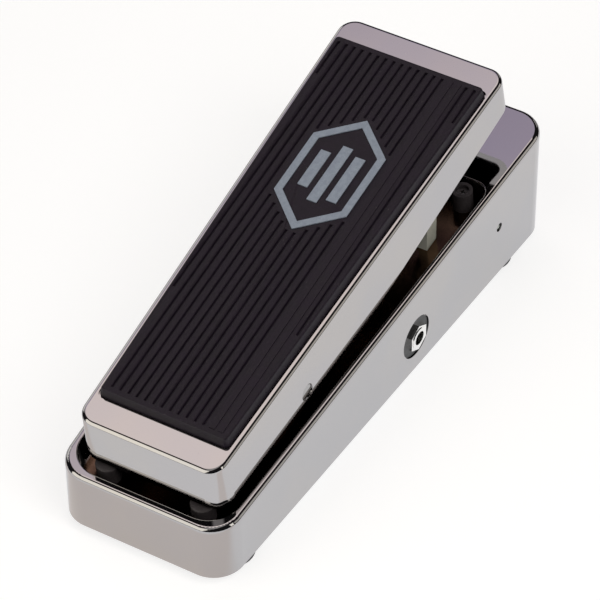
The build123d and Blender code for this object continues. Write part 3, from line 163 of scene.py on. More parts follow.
class SharedEffects:
    """Shader groups that several finishes use, each built once."""

    def __init__(self) -> None:
        """Builds every group."""
        self.marks = self.polish_marks()
        self.grain = self.moulded_grain()
        self.wear = self.edge_wear()
        self.dust = self.settled_dust()

    @staticmethod
    def new_group(name: str, inputs: list[tuple[str, str, float]], outputs: list[tuple[str, str]]) -> bpy.types.NodeTree:
        """Makes an empty group.

        Args:
            name: the group's name.
            inputs: name, kind and starting value of each input.
            outputs: name and kind of each output.

        Returns:
            The group with its input and output nodes.
        """
        group = bpy.data.node_groups.new(name, "ShaderNodeTree")
        for label, kind, value in inputs:
            socket = group.interface.new_socket(label, in_out="INPUT", socket_type=kind)
            if kind == "NodeSocketFloat":
                socket.default_value = value
        for label, kind in outputs:
            group.interface.new_socket(label, in_out="OUTPUT", socket_type=kind)
        group.nodes.new("NodeGroupInput")
        group.nodes.new("NodeGroupOutput")
        return group

    @classmethod
    def polish_marks(cls) -> bpy.types.NodeTree:
        """Handling smudges and fine wiping scratches of a polished surface."""
        group = cls.new_group(
            "polish_marks",
            [("Vector", "NodeSocketVector", 0.0), ("Smudge Scale", "NodeSocketFloat", 40.0),
             ("Scratch Scale", "NodeSocketFloat", 90.0)],
            [("Smudge", "NodeSocketFloat"), ("Scratch", "NodeSocketFloat")],
        )
        graph = Graph(group)
        source, sink = group.nodes[0].outputs, group.nodes[1].inputs
        soft = graph.noise(source["Vector"], source["Smudge Scale"], 5.0, 0.62)
        graph.feed(sink["Smudge"], graph.spread(soft, 0.48, 0.78))
        lines = []
        for turn in (0.5, -0.9):
            thin = graph.stretch(source["Vector"], (1.0, 34.0, 34.0), (0.2, 0.1, turn))
            lines.append(graph.spread(graph.noise(thin, source["Scratch Scale"], 2.0), 0.71, 0.80))
        graph.feed(sink["Scratch"], graph.maths("MAXIMUM", lines[0], lines[1]))
        return group

    @classmethod
    def moulded_grain(cls) -> bpy.types.NodeTree:
        """Fine grain of a moulded surface, as a value and a bent normal."""
        group = cls.new_group(
            "moulded_grain",
            [("Vector", "NodeSocketVector", 0.0), ("Scale", "NodeSocketFloat", 1500.0),
             ("Depth", "NodeSocketFloat", 0.00003)],
            [("Value", "NodeSocketFloat"), ("Normal", "NodeSocketVector")],
        )
        graph = Graph(group)
        source, sink = group.nodes[0].outputs, group.nodes[1].inputs
        value = graph.noise(source["Vector"], source["Scale"], 4.0, 0.6)
        graph.feed(sink["Value"], value)
        bump = graph.add("ShaderNodeBump", {"Height": value, "Distance": source["Depth"]})
        graph.feed(sink["Normal"], bump.outputs["Normal"])
        return group

    @classmethod
    def edge_wear(cls) -> bpy.types.NodeTree:
        """Mask of worn edges, broken up by noise."""
        group = cls.new_group(
            "edge_wear",
            [("Vector", "NodeSocketVector", 0.0), ("Radius", "NodeSocketFloat", 0.0004),
             ("Break Up", "NodeSocketFloat", 700.0)],
            [("Edge", "NodeSocketFloat")],
        )
        graph = Graph(group)
        source, sink = group.nodes[0].outputs, group.nodes[1].inputs
        rounded = graph.add("ShaderNodeBevel", {"Radius": source["Radius"]}, samples=4).outputs["Normal"]
        plain = graph.add("ShaderNodeNewGeometry").outputs["Normal"]
        turned = graph.maths("SUBTRACT", 1.0, graph.dot(rounded, plain))
        broken = graph.noise(source["Vector"], source["Break Up"], 4.0, 0.65)
        edge = graph.maths("MULTIPLY", graph.spread(turned, 0.02, 0.22), graph.spread(broken, 0.35, 0.62))
        graph.feed(sink["Edge"], edge)
        return group

    @classmethod
    def settled_dust(cls) -> bpy.types.NodeTree:
        """Mask of fine dust on surfaces that face upwards."""
        group = cls.new_group(
            "settled_dust",
            [("Vector", "NodeSocketVector", 0.0), ("Facing", "NodeSocketVector", 0.0),
             ("Speck Scale", "NodeSocketFloat", 1400.0)],
            [("Dust", "NodeSocketFloat")],
        )
        graph = Graph(group)
        source, sink = group.nodes[0].outputs, group.nodes[1].inputs
        upward = graph.spread(graph.dot(source["Facing"], (0.0, 0.0, 1.0)), 0.3, 0.95)
        specks = graph.spread(graph.noise(source["Vector"], source["Speck Scale"], 2.0, 0.5), 0.66, 0.76)
        drift = graph.spread(graph.noise(source["Vector"], 60.0, 4.0, 0.6), 0.35, 0.75)
        graph.feed(sink["Dust"], graph.maths("MULTIPLY", graph.maths("MULTIPLY", upward, specks), drift))
        return group


effects = SharedEffects()


@dataclass(frozen=True)
class Finish:
    """A surface finish: a name, a main colour in linear light and its gloss."""

    library: ClassVar[dict[str, bpy.types.Material]] = {}

    name: str
    colour: Colour
    roughness: float = 0.5
    metallic: float = 0.0
    coat: float = 0.0
    specular: float = 0.5

    def build(self) -> bpy.types.Material:
        """Makes the material, or returns the one already made."""
        if self.name in self.library:
            return self.library[self.name]
        material = bpy.data.materials.new("finish_" + self.name)
        self.library[self.name] = material
        material.use_nodes = True
        graph = Graph(material.node_tree)
        shader = next(n for n in material.node_tree.nodes if n.type == "BSDF_PRINCIPLED")
        shader.inputs["Base Color"].default_value = opaque(self.colour)
        shader.inputs["Roughness"].default_value = self.roughness
        shader.inputs["Metallic"].default_value = self.metallic
        shader.inputs["Coat Weight"].default_value = self.coat
        shader.inputs["Coat Roughness"].default_value = 0.12
        shader.inputs["Specular IOR Level"].default_value = self.specular
        place = graph.add("ShaderNodeTexCoord").outputs
        self.shade(graph, shader, place)
        return material

    def shade(self, graph: Graph, shader: bpy.types.Node, place: bpy.types.bpy_prop_collection) -> None:
        """Adds the finish's own pattern.

        Args:
            graph: the material's node tree.
            shader: its Principled BSDF.
            place: the outputs of a Texture Coordinate node.
        """

    @staticmethod
    def group(graph: Graph, tree: bpy.types.NodeTree, inputs: dict) -> bpy.types.bpy_prop_collection:
        """Places a shared group and returns its outputs."""
        node = graph.add("ShaderNodeGroup")
        node.node_tree = tree
        for name, value in inputs.items():
            graph.feed(node.inputs[name], value)
        return node.outputs


@dataclass(frozen=True)
class PlatedFinish(Finish):
    """Polished plating with a faint cast waviness, smudges and wiping marks.

    The draft is the slope by which upright walls lean outwards as they go down, along each axis,
    and the end draft is how many times more the heel wall leans. The toe wall has none.
    """

    tint: Colour = (0.6, 0.58, 0.58)
    wave_depth: float = 0.00002
    smudge: float = 0.05
    scratch: float = 0.10
    draft: Colour = (0.0, 0.0, 0.0)
    end_draft: float = 1.0

    def shade(self, graph: Graph, shader: bpy.types.Node, place: bpy.types.bpy_prop_collection) -> None:
        """Adds waviness, uneven tone and handling marks."""
        here = place["Object"]
        marks = self.group(graph, effects.marks, {"Vector": here, "Smudge Scale": 34.0, "Scratch Scale": 120.0})
        dust = self.group(graph, effects.dust, {"Vector": here, "Facing": place["Normal"]})["Dust"]
        tone = graph.spread(graph.noise(here, 22.0, 3.0), 0.35, 0.65)
        colour = graph.blend(tone, self.colour, self.tint)
        speck = graph.maths("MULTIPLY", dust, 0.10)
        graph.feed(shader.inputs["Base Color"], graph.blend(speck, colour, (0.7, 0.68, 0.64)))
        rough = graph.maths("MULTIPLY", marks["Smudge"], self.smudge)
        rough = graph.maths("ADD", rough, graph.maths("MULTIPLY", marks["Scratch"], self.scratch))
        rough = graph.maths("ADD", rough, graph.maths("MULTIPLY", dust, 0.25))
        graph.feed(shader.inputs["Roughness"], graph.maths("ADD", rough, self.roughness))
        lean = self.leaning(graph, place)
        wave = graph.bump(graph.noise(here, 26.0, 1.0, 0.3), self.wave_depth, lean)
        graph.feed(shader.inputs["Normal"], graph.bump(graph.noise(here, 900.0, 2.0), 0.0000006, wave))


    def leaning(self, graph: Graph, place: bpy.types.bpy_prop_collection) -> bpy.types.NodeSocket:
        """Normal of the drafted walls: the heel leans more than the sides, and the toe not at all."""
        slope = graph.dot(place["Object"], self.draft)
        side = graph.bump(slope, 1.0)
        end = graph.bump(graph.maths("MULTIPLY", slope, self.end_draft), 1.0)
        plain = graph.add("ShaderNodeNewGeometry").outputs["Normal"]
        normal = side
        for towards, other in ((-1.0, end), (1.0, plain)):
            facing = graph.dot(place["Normal"], (0.0, towards, 0.0))
            mixed = graph.add("ShaderNodeMix", {0: graph.spread(facing, 0.5, 0.9)}, data_type="VECTOR")
            graph.feed(mixed.inputs[4], normal)
            graph.feed(mixed.inputs[5], other)
            normal = mixed.outputs[1]
        return normal


@dataclass(frozen=True)
class HousingFinish(PlatedFinish):
    """Plating of the housing, rougher down in its well and darkened there by a warm painted shade.

    Each rim gives half the width, the height and the place along Y of the housing's top, at the heel and at the toe.
    """

    heel_rim: Colour = (0.0, 0.0, 0.0)
    toe_rim: Colour = (0.0, 0.0, 0.0)
    # Colour of the painted shade inside the well; noise darkens it further in patches.
    well_shade_colour: Colour = (0.17, 0.105, 0.07)
    wall: float = 7.0 * MM
    lip: float = 5.0 * MM

    def shade(self, graph: Graph, shader: bpy.types.Node, place: bpy.types.bpy_prop_collection) -> None:
        """Adds the plating, then a warm painted shade and extra roughness inside the well."""
        super().shade(graph, shader, place)
        parts = graph.add("ShaderNodeSeparateXYZ", {0: place["Object"]}).outputs
        length = self.toe_rim[2] - self.heel_rim[2]
        half = self.straight(graph, parts["Y"], self.heel_rim[0], (self.toe_rim[0] - self.heel_rim[0]) / length)
        top = self.straight(graph, parts["Y"], self.heel_rim[1], (self.toe_rim[1] - self.heel_rim[1]) / length)
        inward = graph.maths("SUBTRACT", half, graph.maths("ABSOLUTE", parts["X"]))
        below = graph.maths("SUBTRACT", top, parts["Z"])
        inside = graph.spread(inward, self.wall * 0.8, self.wall)
        for sign, rim in ((1.0, self.heel_rim), (-1.0, self.toe_rim)):
            away = graph.maths("MULTIPLY", graph.maths("SUBTRACT", parts["Y"], rim[2]), sign)
            inside = graph.maths("MULTIPLY", inside, graph.spread(away, self.wall * 0.8, self.wall))
        inside = graph.maths("MULTIPLY", inside, graph.spread(below, self.lip * 0.3, self.lip * 2.0))
        plain = shader.inputs["Base Color"].links[0].from_socket
        # Painted shade: inside the well, below the rim, the plating is blended to a mottled warm brown that stands in
        # for the shade and dim brownish reflections there.
        well_shade_noise = graph.noise(place["Object"], 70.0, 4.0, 0.6)
        dark = tuple(part * 0.5 for part in self.well_shade_colour)
        painted_well_shade = graph.blend(graph.spread(well_shade_noise, 0.35, 0.65), self.well_shade_colour, dark)
        graph.feed(shader.inputs["Base Color"], graph.blend(inside, plain, painted_well_shade))
        rough = shader.inputs["Roughness"].links[0].from_socket
        graph.feed(shader.inputs["Roughness"], graph.maths("ADD", rough, graph.maths("MULTIPLY", inside, 0.12)))

    def straight(self, graph: Graph, along: bpy.types.NodeSocket, start: float, slope: float) -> bpy.types.NodeSocket:
        """Value that runs straight along Y from the heel's rim."""
        away = graph.maths("SUBTRACT", along, self.heel_rim[2])
        return graph.maths("ADD", graph.maths("MULTIPLY", away, slope), start)


@dataclass(frozen=True)
class MouldedFinish(Finish):
    """Moulded rubber or plastic with a fine grain, rubbed edges and settled dust."""

    worn: Colour = (0.08, 0.075, 0.08)
    grain_scale: float = 1500.0
    grain_depth: float = 0.00003
    mottle: float = 0.25
    dust: float = 0.35
    edge: float = 0.6

    def shade(self, graph: Graph, shader: bpy.types.Node, place: bpy.types.bpy_prop_collection) -> None:
        """Adds grain, mottling, rubbed edges and dust."""
        here = place["Object"]
        inputs = {"Vector": here, "Scale": self.grain_scale, "Depth": self.grain_depth}
        grain = self.group(graph, effects.grain, inputs)
        edge = self.group(graph, effects.wear, {"Vector": here, "Radius": 0.0005})["Edge"]
        dust = self.group(graph, effects.dust, {"Vector": here, "Facing": place["Normal"]})["Dust"]
        dark = tuple(part * (1.0 - self.mottle) for part in self.colour)
        light = tuple(part * (1.0 + self.mottle) for part in self.colour)
        cloud = graph.noise(here, 160.0, 5.0, 0.62)
        mixed = graph.maths("ADD", graph.maths("MULTIPLY", cloud, 0.5), graph.maths("MULTIPLY", grain["Value"], 0.5))
        colour = graph.blend(graph.spread(mixed, 0.36, 0.64), dark, light)
        colour = graph.blend(graph.maths("MULTIPLY", edge, self.edge), colour, self.worn)
        colour = graph.blend(graph.maths("MULTIPLY", dust, self.dust), colour, (0.32, 0.30, 0.28))
        graph.feed(shader.inputs["Base Color"], colour)
        rough = graph.spread(cloud, 0.3, 0.7, self.roughness - 0.05, self.roughness + 0.07)
        graph.feed(shader.inputs["Roughness"], rough)
        graph.feed(shader.inputs["Normal"], grain["Normal"])


@dataclass(frozen=True)
class SteelFinish(Finish):
    """Rolled or turned steel: fine lines along one direction, worn edges and a soft tarnish."""

    line_scale: Colour = (1.0, 60.0, 60.0)
    tarnish: Colour = (0.30, 0.28, 0.26)
    line_depth: float = 0.000006

    def shade(self, graph: Graph, shader: bpy.types.Node, place: bpy.types.bpy_prop_collection) -> None:
        """Adds rolling lines, tarnish and bright edges."""
        here = place["Object"]
        lines = graph.noise(graph.stretch(here, self.line_scale), 70.0, 4.0, 0.6)
        cloud = graph.noise(here, 55.0, 5.0, 0.6)
        edge = self.group(graph, effects.wear, {"Vector": here, "Radius": 0.0003})["Edge"]
        marks = self.group(graph, effects.marks, {"Vector": here, "Smudge Scale": 60.0})
        colour = graph.blend(graph.spread(cloud, 0.42, 0.72, 0.0, 0.25), self.colour, self.tarnish)
        bright = tuple(min(1.0, part * 1.5) for part in self.colour)
        graph.feed(shader.inputs["Base Color"], graph.blend(graph.maths("MULTIPLY", edge, 0.7), colour, bright))
        rough = graph.spread(lines, 0.3, 0.7, self.roughness - 0.08, self.roughness + 0.10)
        rough = graph.maths("ADD", rough, graph.maths("MULTIPLY", marks["Smudge"], 0.08))
        graph.feed(shader.inputs["Roughness"], rough)
        graph.feed(shader.inputs["Normal"], graph.bump(lines, self.line_depth))


@dataclass(frozen=True)
class PaintFinish(Finish):
    """Thin metallic ink with fine flakes and a slightly uneven edge tone."""

    flake: Colour = (0.5, 0.56, 0.6)

    def shade(self, graph: Graph, shader: bpy.types.Node, place: bpy.types.bpy_prop_collection) -> None:
        """Adds flakes and a light mottling."""
        here = place["Object"]
        flakes = graph.add("ShaderNodeTexVoronoi", {"Vector": here, "Scale": 3800.0}).outputs["Distance"]
        cloud = graph.noise(here, 420.0, 5.0, 0.6)
        speckle = graph.maths("MULTIPLY", graph.spread(flakes, 0.15, 0.5, 1.0, 0.0), 0.45)
        mixed = graph.maths("ADD", speckle, graph.spread(cloud, 0.3, 0.7, 0.0, 0.5))
        graph.feed(shader.inputs["Base Color"], graph.blend(mixed, self.colour, self.flake))
        graph.feed(shader.inputs["Roughness"], graph.spread(cloud, 0.3, 0.7, self.roughness - 0.06, self.roughness + 0.08))
        graph.feed(shader.inputs["Normal"], graph.bump(cloud, 0.00002))


@dataclass(frozen=True)
class BandedFinish(Finish):
    """Lacquered body with plain coloured bands across its length."""

    bands: tuple[Colour, ...] = ()
    middle: float = 0.0
    pitch: float = 0.0012
    width: float = 0.0005

    def shade(self, graph: Graph, shader: bpy.types.Node, place: bpy.types.bpy_prop_collection) -> None:
        """Adds the bands along Y and a light gloss change."""
        here = place["Object"]
        along = graph.add("ShaderNodeSeparateXYZ", {0: here}).outputs["Y"]
        colour = graph.blend(graph.noise(here, 500.0, 4.0), self.colour, tuple(part * 0.8 for part in self.colour))
        for count, band in enumerate(self.bands):
            centre = self.middle + (count - (len(self.bands) - 1) / 2) * self.pitch
            away = graph.maths("ABSOLUTE", graph.maths("SUBTRACT", along, centre))
            inside = graph.spread(away, self.width / 2, self.width / 2 * 1.1, 1.0, 0.0)
            colour = graph.blend(inside, colour, band)
        graph.feed(shader.inputs["Base Color"], colour)
        graph.feed(shader.inputs["Normal"], graph.bump(graph.noise(here, 900.0, 3.0), 0.00002))


@dataclass(frozen=True)
class BoardFinish(Finish):
    """Circuit laminate: woven base, plain copper runs under a varnish."""

    run_colour: Colour = (0.40, 0.22, 0.07)
    run_pitch: float = 0.0032

    def shade(self, graph: Graph, shader: bpy.types.Node, place: bpy.types.bpy_prop_collection) -> None:
        """Adds the runs, their varnish and the weave."""
        here = place["Object"]
        inputs = {"Vector": here, "Scale": 1.0 / self.run_pitch, "Mortar Size": 0.09}
        inputs |= {"Brick Width": 2.6, "Row Height": 0.9}
        runs = graph.add("ShaderNodeTexBrick", inputs).outputs["Fac"]
        weave = graph.noise(graph.stretch(here, (1.0, 1.0, 0.1)), 1600.0, 3.0)
        base = graph.blend(weave, self.colour, tuple(part * 1.5 for part in self.colour))
        graph.feed(shader.inputs["Base Color"], graph.blend(runs, self.run_colour, base))
        graph.feed(shader.inputs["Normal"], graph.bump(runs, -0.00004, graph.bump(weave, 0.00002)))


@dataclass(frozen=True)
class LensFinish(Finish):
    """Clear lens with a pale core."""

    core: Colour = (0.75, 0.78, 0.72)

    def shade(self, graph: Graph, shader: bpy.types.Node, place: bpy.types.bpy_prop_collection) -> None:
        """Lets light through and keeps a faint frosting."""
        shader.inputs["Transmission Weight"].default_value = 0.35
        shader.inputs["IOR"].default_value = 1.52
        frost = graph.noise(place["Object"], 800.0, 3.0)
        graph.feed(shader.inputs["Base Color"], graph.blend(graph.spread(frost, 0.3, 0.7), self.colour, self.core))
        graph.feed(shader.inputs["Roughness"], graph.spread(frost, 0.3, 0.7, 0.05, 0.18))


TREADLE_CHROME = PlatedFinish(
    "treadle_chrome", (0.500, 0.480, 0.470), 0.030, 1.0, tint=(0.480, 0.468, 0.474), draft=(0.0, 0.029, -0.172), end_draft=1.65,
)
SHAFT_CHROME = PlatedFinish(
    "shaft_chrome", (0.44, 0.43, 0.42), 0.07, 1.0, tint=(0.40, 0.39, 0.39), draft=(0.0, 0.029, -0.172), end_draft=1.65,
)
BRIGHT_NICKEL = PlatedFinish("bright_nickel", (0.93, 0.91, 0.88), 0.16, 1.0, tint=(0.86, 0.85, 0.84))
PAD_RUBBER = MouldedFinish(
    "pad_rubber", (0.0122, 0.0080, 0.0148), 0.46, specular=0.33, worn=(0.045, 0.038, 0.048),
    grain_scale=1900.0, grain_depth=0.00005, mottle=0.34, dust=0.22, edge=0.35,
)
BLACK_RUBBER = MouldedFinish("black_rubber", (0.044, 0.038, 0.041), 0.55, worn=(0.07, 0.065, 0.07))
BLACK_NYLON = MouldedFinish("black_nylon", (0.014, 0.014, 0.015), 0.38, worn=(0.05, 0.05, 0.05), grain_depth=0.00001)
WHITE_NYLON = MouldedFinish(
    "white_nylon", (0.66, 0.66, 0.58), 0.42, worn=(0.78, 0.78, 0.72), grain_depth=0.00001, mottle=0.06, dust=0.2,
)
SWITCH_PLASTIC = MouldedFinish("switch_plastic", (0.03, 0.09, 0.24), 0.35, worn=(0.1, 0.2, 0.4), grain_depth=0.00001)
FOAM = MouldedFinish("foam", (0.035, 0.035, 0.037), 0.95, grain_scale=900.0, grain_depth=0.0004, mottle=0.5)
INSULATION = MouldedFinish("insulation", (0.022, 0.022, 0.024), 0.4, grain_depth=0.000008, edge=0.0)
PLATE_STEEL = SteelFinish("plate_steel", (0.46, 0.46, 0.47), 0.34, 1.0, line_scale=(60.0, 1.0, 60.0))
SCREW_STEEL = SteelFinish("screw_steel", (0.34, 0.33, 0.33), 0.30, 1.0, line_scale=(30.0, 30.0, 1.0))
SHAFT_STEEL = SteelFinish("shaft_steel", (0.52, 0.51, 0.50), 0.20, 1.0, line_scale=(60.0, 1.0, 1.0))
TURNED_BRASS = SteelFinish(
    "turned_brass", (0.72, 0.52, 0.22), 0.24, 1.0, line_scale=(1.0, 60.0, 1.0), tarnish=(0.42, 0.27, 0.10),
)
EMBLEM_INK = PaintFinish("emblem_ink", (0.245, 0.29, 0.355), 0.42, 0.25, flake=(0.37, 0.43, 0.51))
BATTERY_WRAP = BandedFinish(
    "battery_wrap", (0.03, 0.03, 0.034), 0.3, coat=0.4, bands=((0.5, 0.36, 0.12),), middle=-0.026, width=0.009,
)
BOARD_LAMINATE = BoardFinish("board_laminate", (0.115, 0.055, 0.018), 0.4, coat=0.3)
COIL_CASE = BandedFinish("coil_case", (0.34, 0.035, 0.02), 0.3, coat=0.4)
FILM_DIP = BandedFinish("film_dip", (0.38, 0.06, 0.025), 0.28, coat=0.5)
CAN_SLEEVE = BandedFinish("can_sleeve", (0.03, 0.06, 0.17), 0.3, coat=0.3)
RESISTOR_LACQUER = BandedFinish(
    "resistor_lacquer", (0.52, 0.37, 0.2), 0.35, coat=0.4, middle=0.056,
    bands=((0.2, 0.07, 0.02), (0.02, 0.02, 0.02), (0.5, 0.16, 0.02), (0.6, 0.42, 0.1)),
)
CLEAR_LENS = LensFinish("clear_lens", (0.55, 0.58, 0.55), 0.1)


class SubAssembly:
    """A group of pieces that are dressed and, where needed, built together."""

    finishes: dict[str, Finish] = {}

    def dress(self) -> None:
        """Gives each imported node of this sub-assembly its finish."""
        for node, finish in self.finishes.items():
            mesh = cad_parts[node].data
            mesh.materials.clear()
            mesh.materials.append(finish.build())
            log.info("dressed %s with %s", node, finish.name)

    def build(self) -> None:
        """Builds the new pieces of this sub-assembly."""


def rim_of(node: str, side: int) -> Colour:
    """Half the width, the height and the place along Y of a node's top at one end.

    Args:
        node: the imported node.
        side: -1 for the heel end, 1 for the toe end.

    Returns:
        The three lengths, in metres.
    """
    low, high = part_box(node)
    end = low.y if side < 0 else high.y
    share = 0.15 * (high.y - low.y)
    near = [vertex.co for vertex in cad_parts[node].data.vertices if abs(vertex.co.y - end) < share]
    return (max(point.x for point in near), max(point.z for point in near), end)


class Castings(SubAssembly):
    """The plated base and treadle castings."""

    finishes = {
        "base_housing": HousingFinish(
            "housing_chrome", (0.480, 0.462, 0.455), 0.030, 1.0, tint=(0.462, 0.452, 0.457),
            heel_rim=rim_of("base_housing", -1), toe_rim=rim_of("base_housing", 1),
        ),
        "treadle": TREADLE_CHROME,
    }


def new_piece(name: str, mesh: bpy.types.Mesh, body: Body) -> bpy.types.Object:
    """Adds a finished mesh to the scene and makes it ride on a body.

    Args:
        name: the piece's name.
        mesh: its mesh, in the frame of the whole object.
        body: the body that it moves with.

    Returns:
        The new object.
    """
    mesh.name = name
    piece = bpy.data.objects.new(name, mesh)
    bpy.context.scene.collection.objects.link(piece)
    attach(piece, body.value)
    log.info("built %s with %d faces", name, len(mesh.polygons))
    return piece


def merged_copy(node: str) -> bpy.types.Mesh:
    """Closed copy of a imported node's mesh, with its loose triangles joined."""
    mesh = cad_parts[node].data.copy()
    shape = bmesh.new()
    shape.from_mesh(mesh)
    bmesh.ops.remove_doubles(shape, verts=shape.verts, dist=1e-6)
    shape.to_mesh(mesh)
    shape.free()
    return mesh


@dataclass
class PadPlane:
    """The flat top of the tread pad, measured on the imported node."""

    origin: Vector
    normal: Vector
    low: float
    high: float
    side_low: tuple[float, float]
    side_high: tuple[float, float]

    @classmethod
    def of(cls, node: str) -> "PadPlane":
        """Finds the largest flat face of a node and the line of its long side."""
        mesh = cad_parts[node].data
        upward = [face for face in mesh.polygons if face.normal.z > 0.5]
        normal = max(upward, key=lambda face: face.area).normal.copy()
        points = [vertex.co.copy() for vertex in mesh.vertices]
        top = max(point.dot(normal) for point in points)
        outline = [point for point in points if point.dot(normal) > top - 0.02 * MM]
        middle = sum((point.y for point in outline), 0.0) / len(outline)
        origin = Vector((0.0, middle, (top - normal.y * middle) / normal.z))
        plane = cls(origin, normal, 0.0, 0.0, (0.0, 0.0), (0.0, 0.0))
        flat = sorted({(round(plane.along(p), 6), round(abs(p.x), 6)) for p in outline if p.x > 0})
        plane.low, plane.high = flat[0][0], flat[-1][0]
        pairs = zip(flat, flat[1:])
        plane.side_low, plane.side_high = max(pairs, key=lambda pair: pair[1][0] - pair[0][0])
        return plane

    @property
    def direction(self) -> Vector:
        """Unit vector from the heel to the toe in the plane."""
        return Vector((0.0, self.normal.z, -self.normal.y))

    @property
    def tilt(self) -> float:
        """Turn of the plane about X, in radians."""
        return math.atan2(-self.normal.y, self.normal.z)

    def along(self, point: Vector) -> float:
        """Distance of a point from the origin towards the toe."""
        return (point - self.origin).dot(self.direction)

    def half(self, along: float) -> float:
        """Half the width of the top at a distance along it."""
        share = (along - self.side_low[0]) / (self.side_high[0] - self.side_low[0])
        return self.side_low[1] + share * (self.side_high[1] - self.side_low[1])

    def where(self, half: float) -> float:
        """Distance along the top at which it is this half-width."""
        slope = (self.side_high[1] - self.side_low[1]) / (self.side_high[0] - self.side_low[0])
        return self.side_low[0] + (half - self.side_low[1]) / slope

    def point(self, across: float, along: float) -> Vector:
        """Point of the plane."""
        return self.origin + Vector((across, 0.0, 0.0)) + self.direction * along


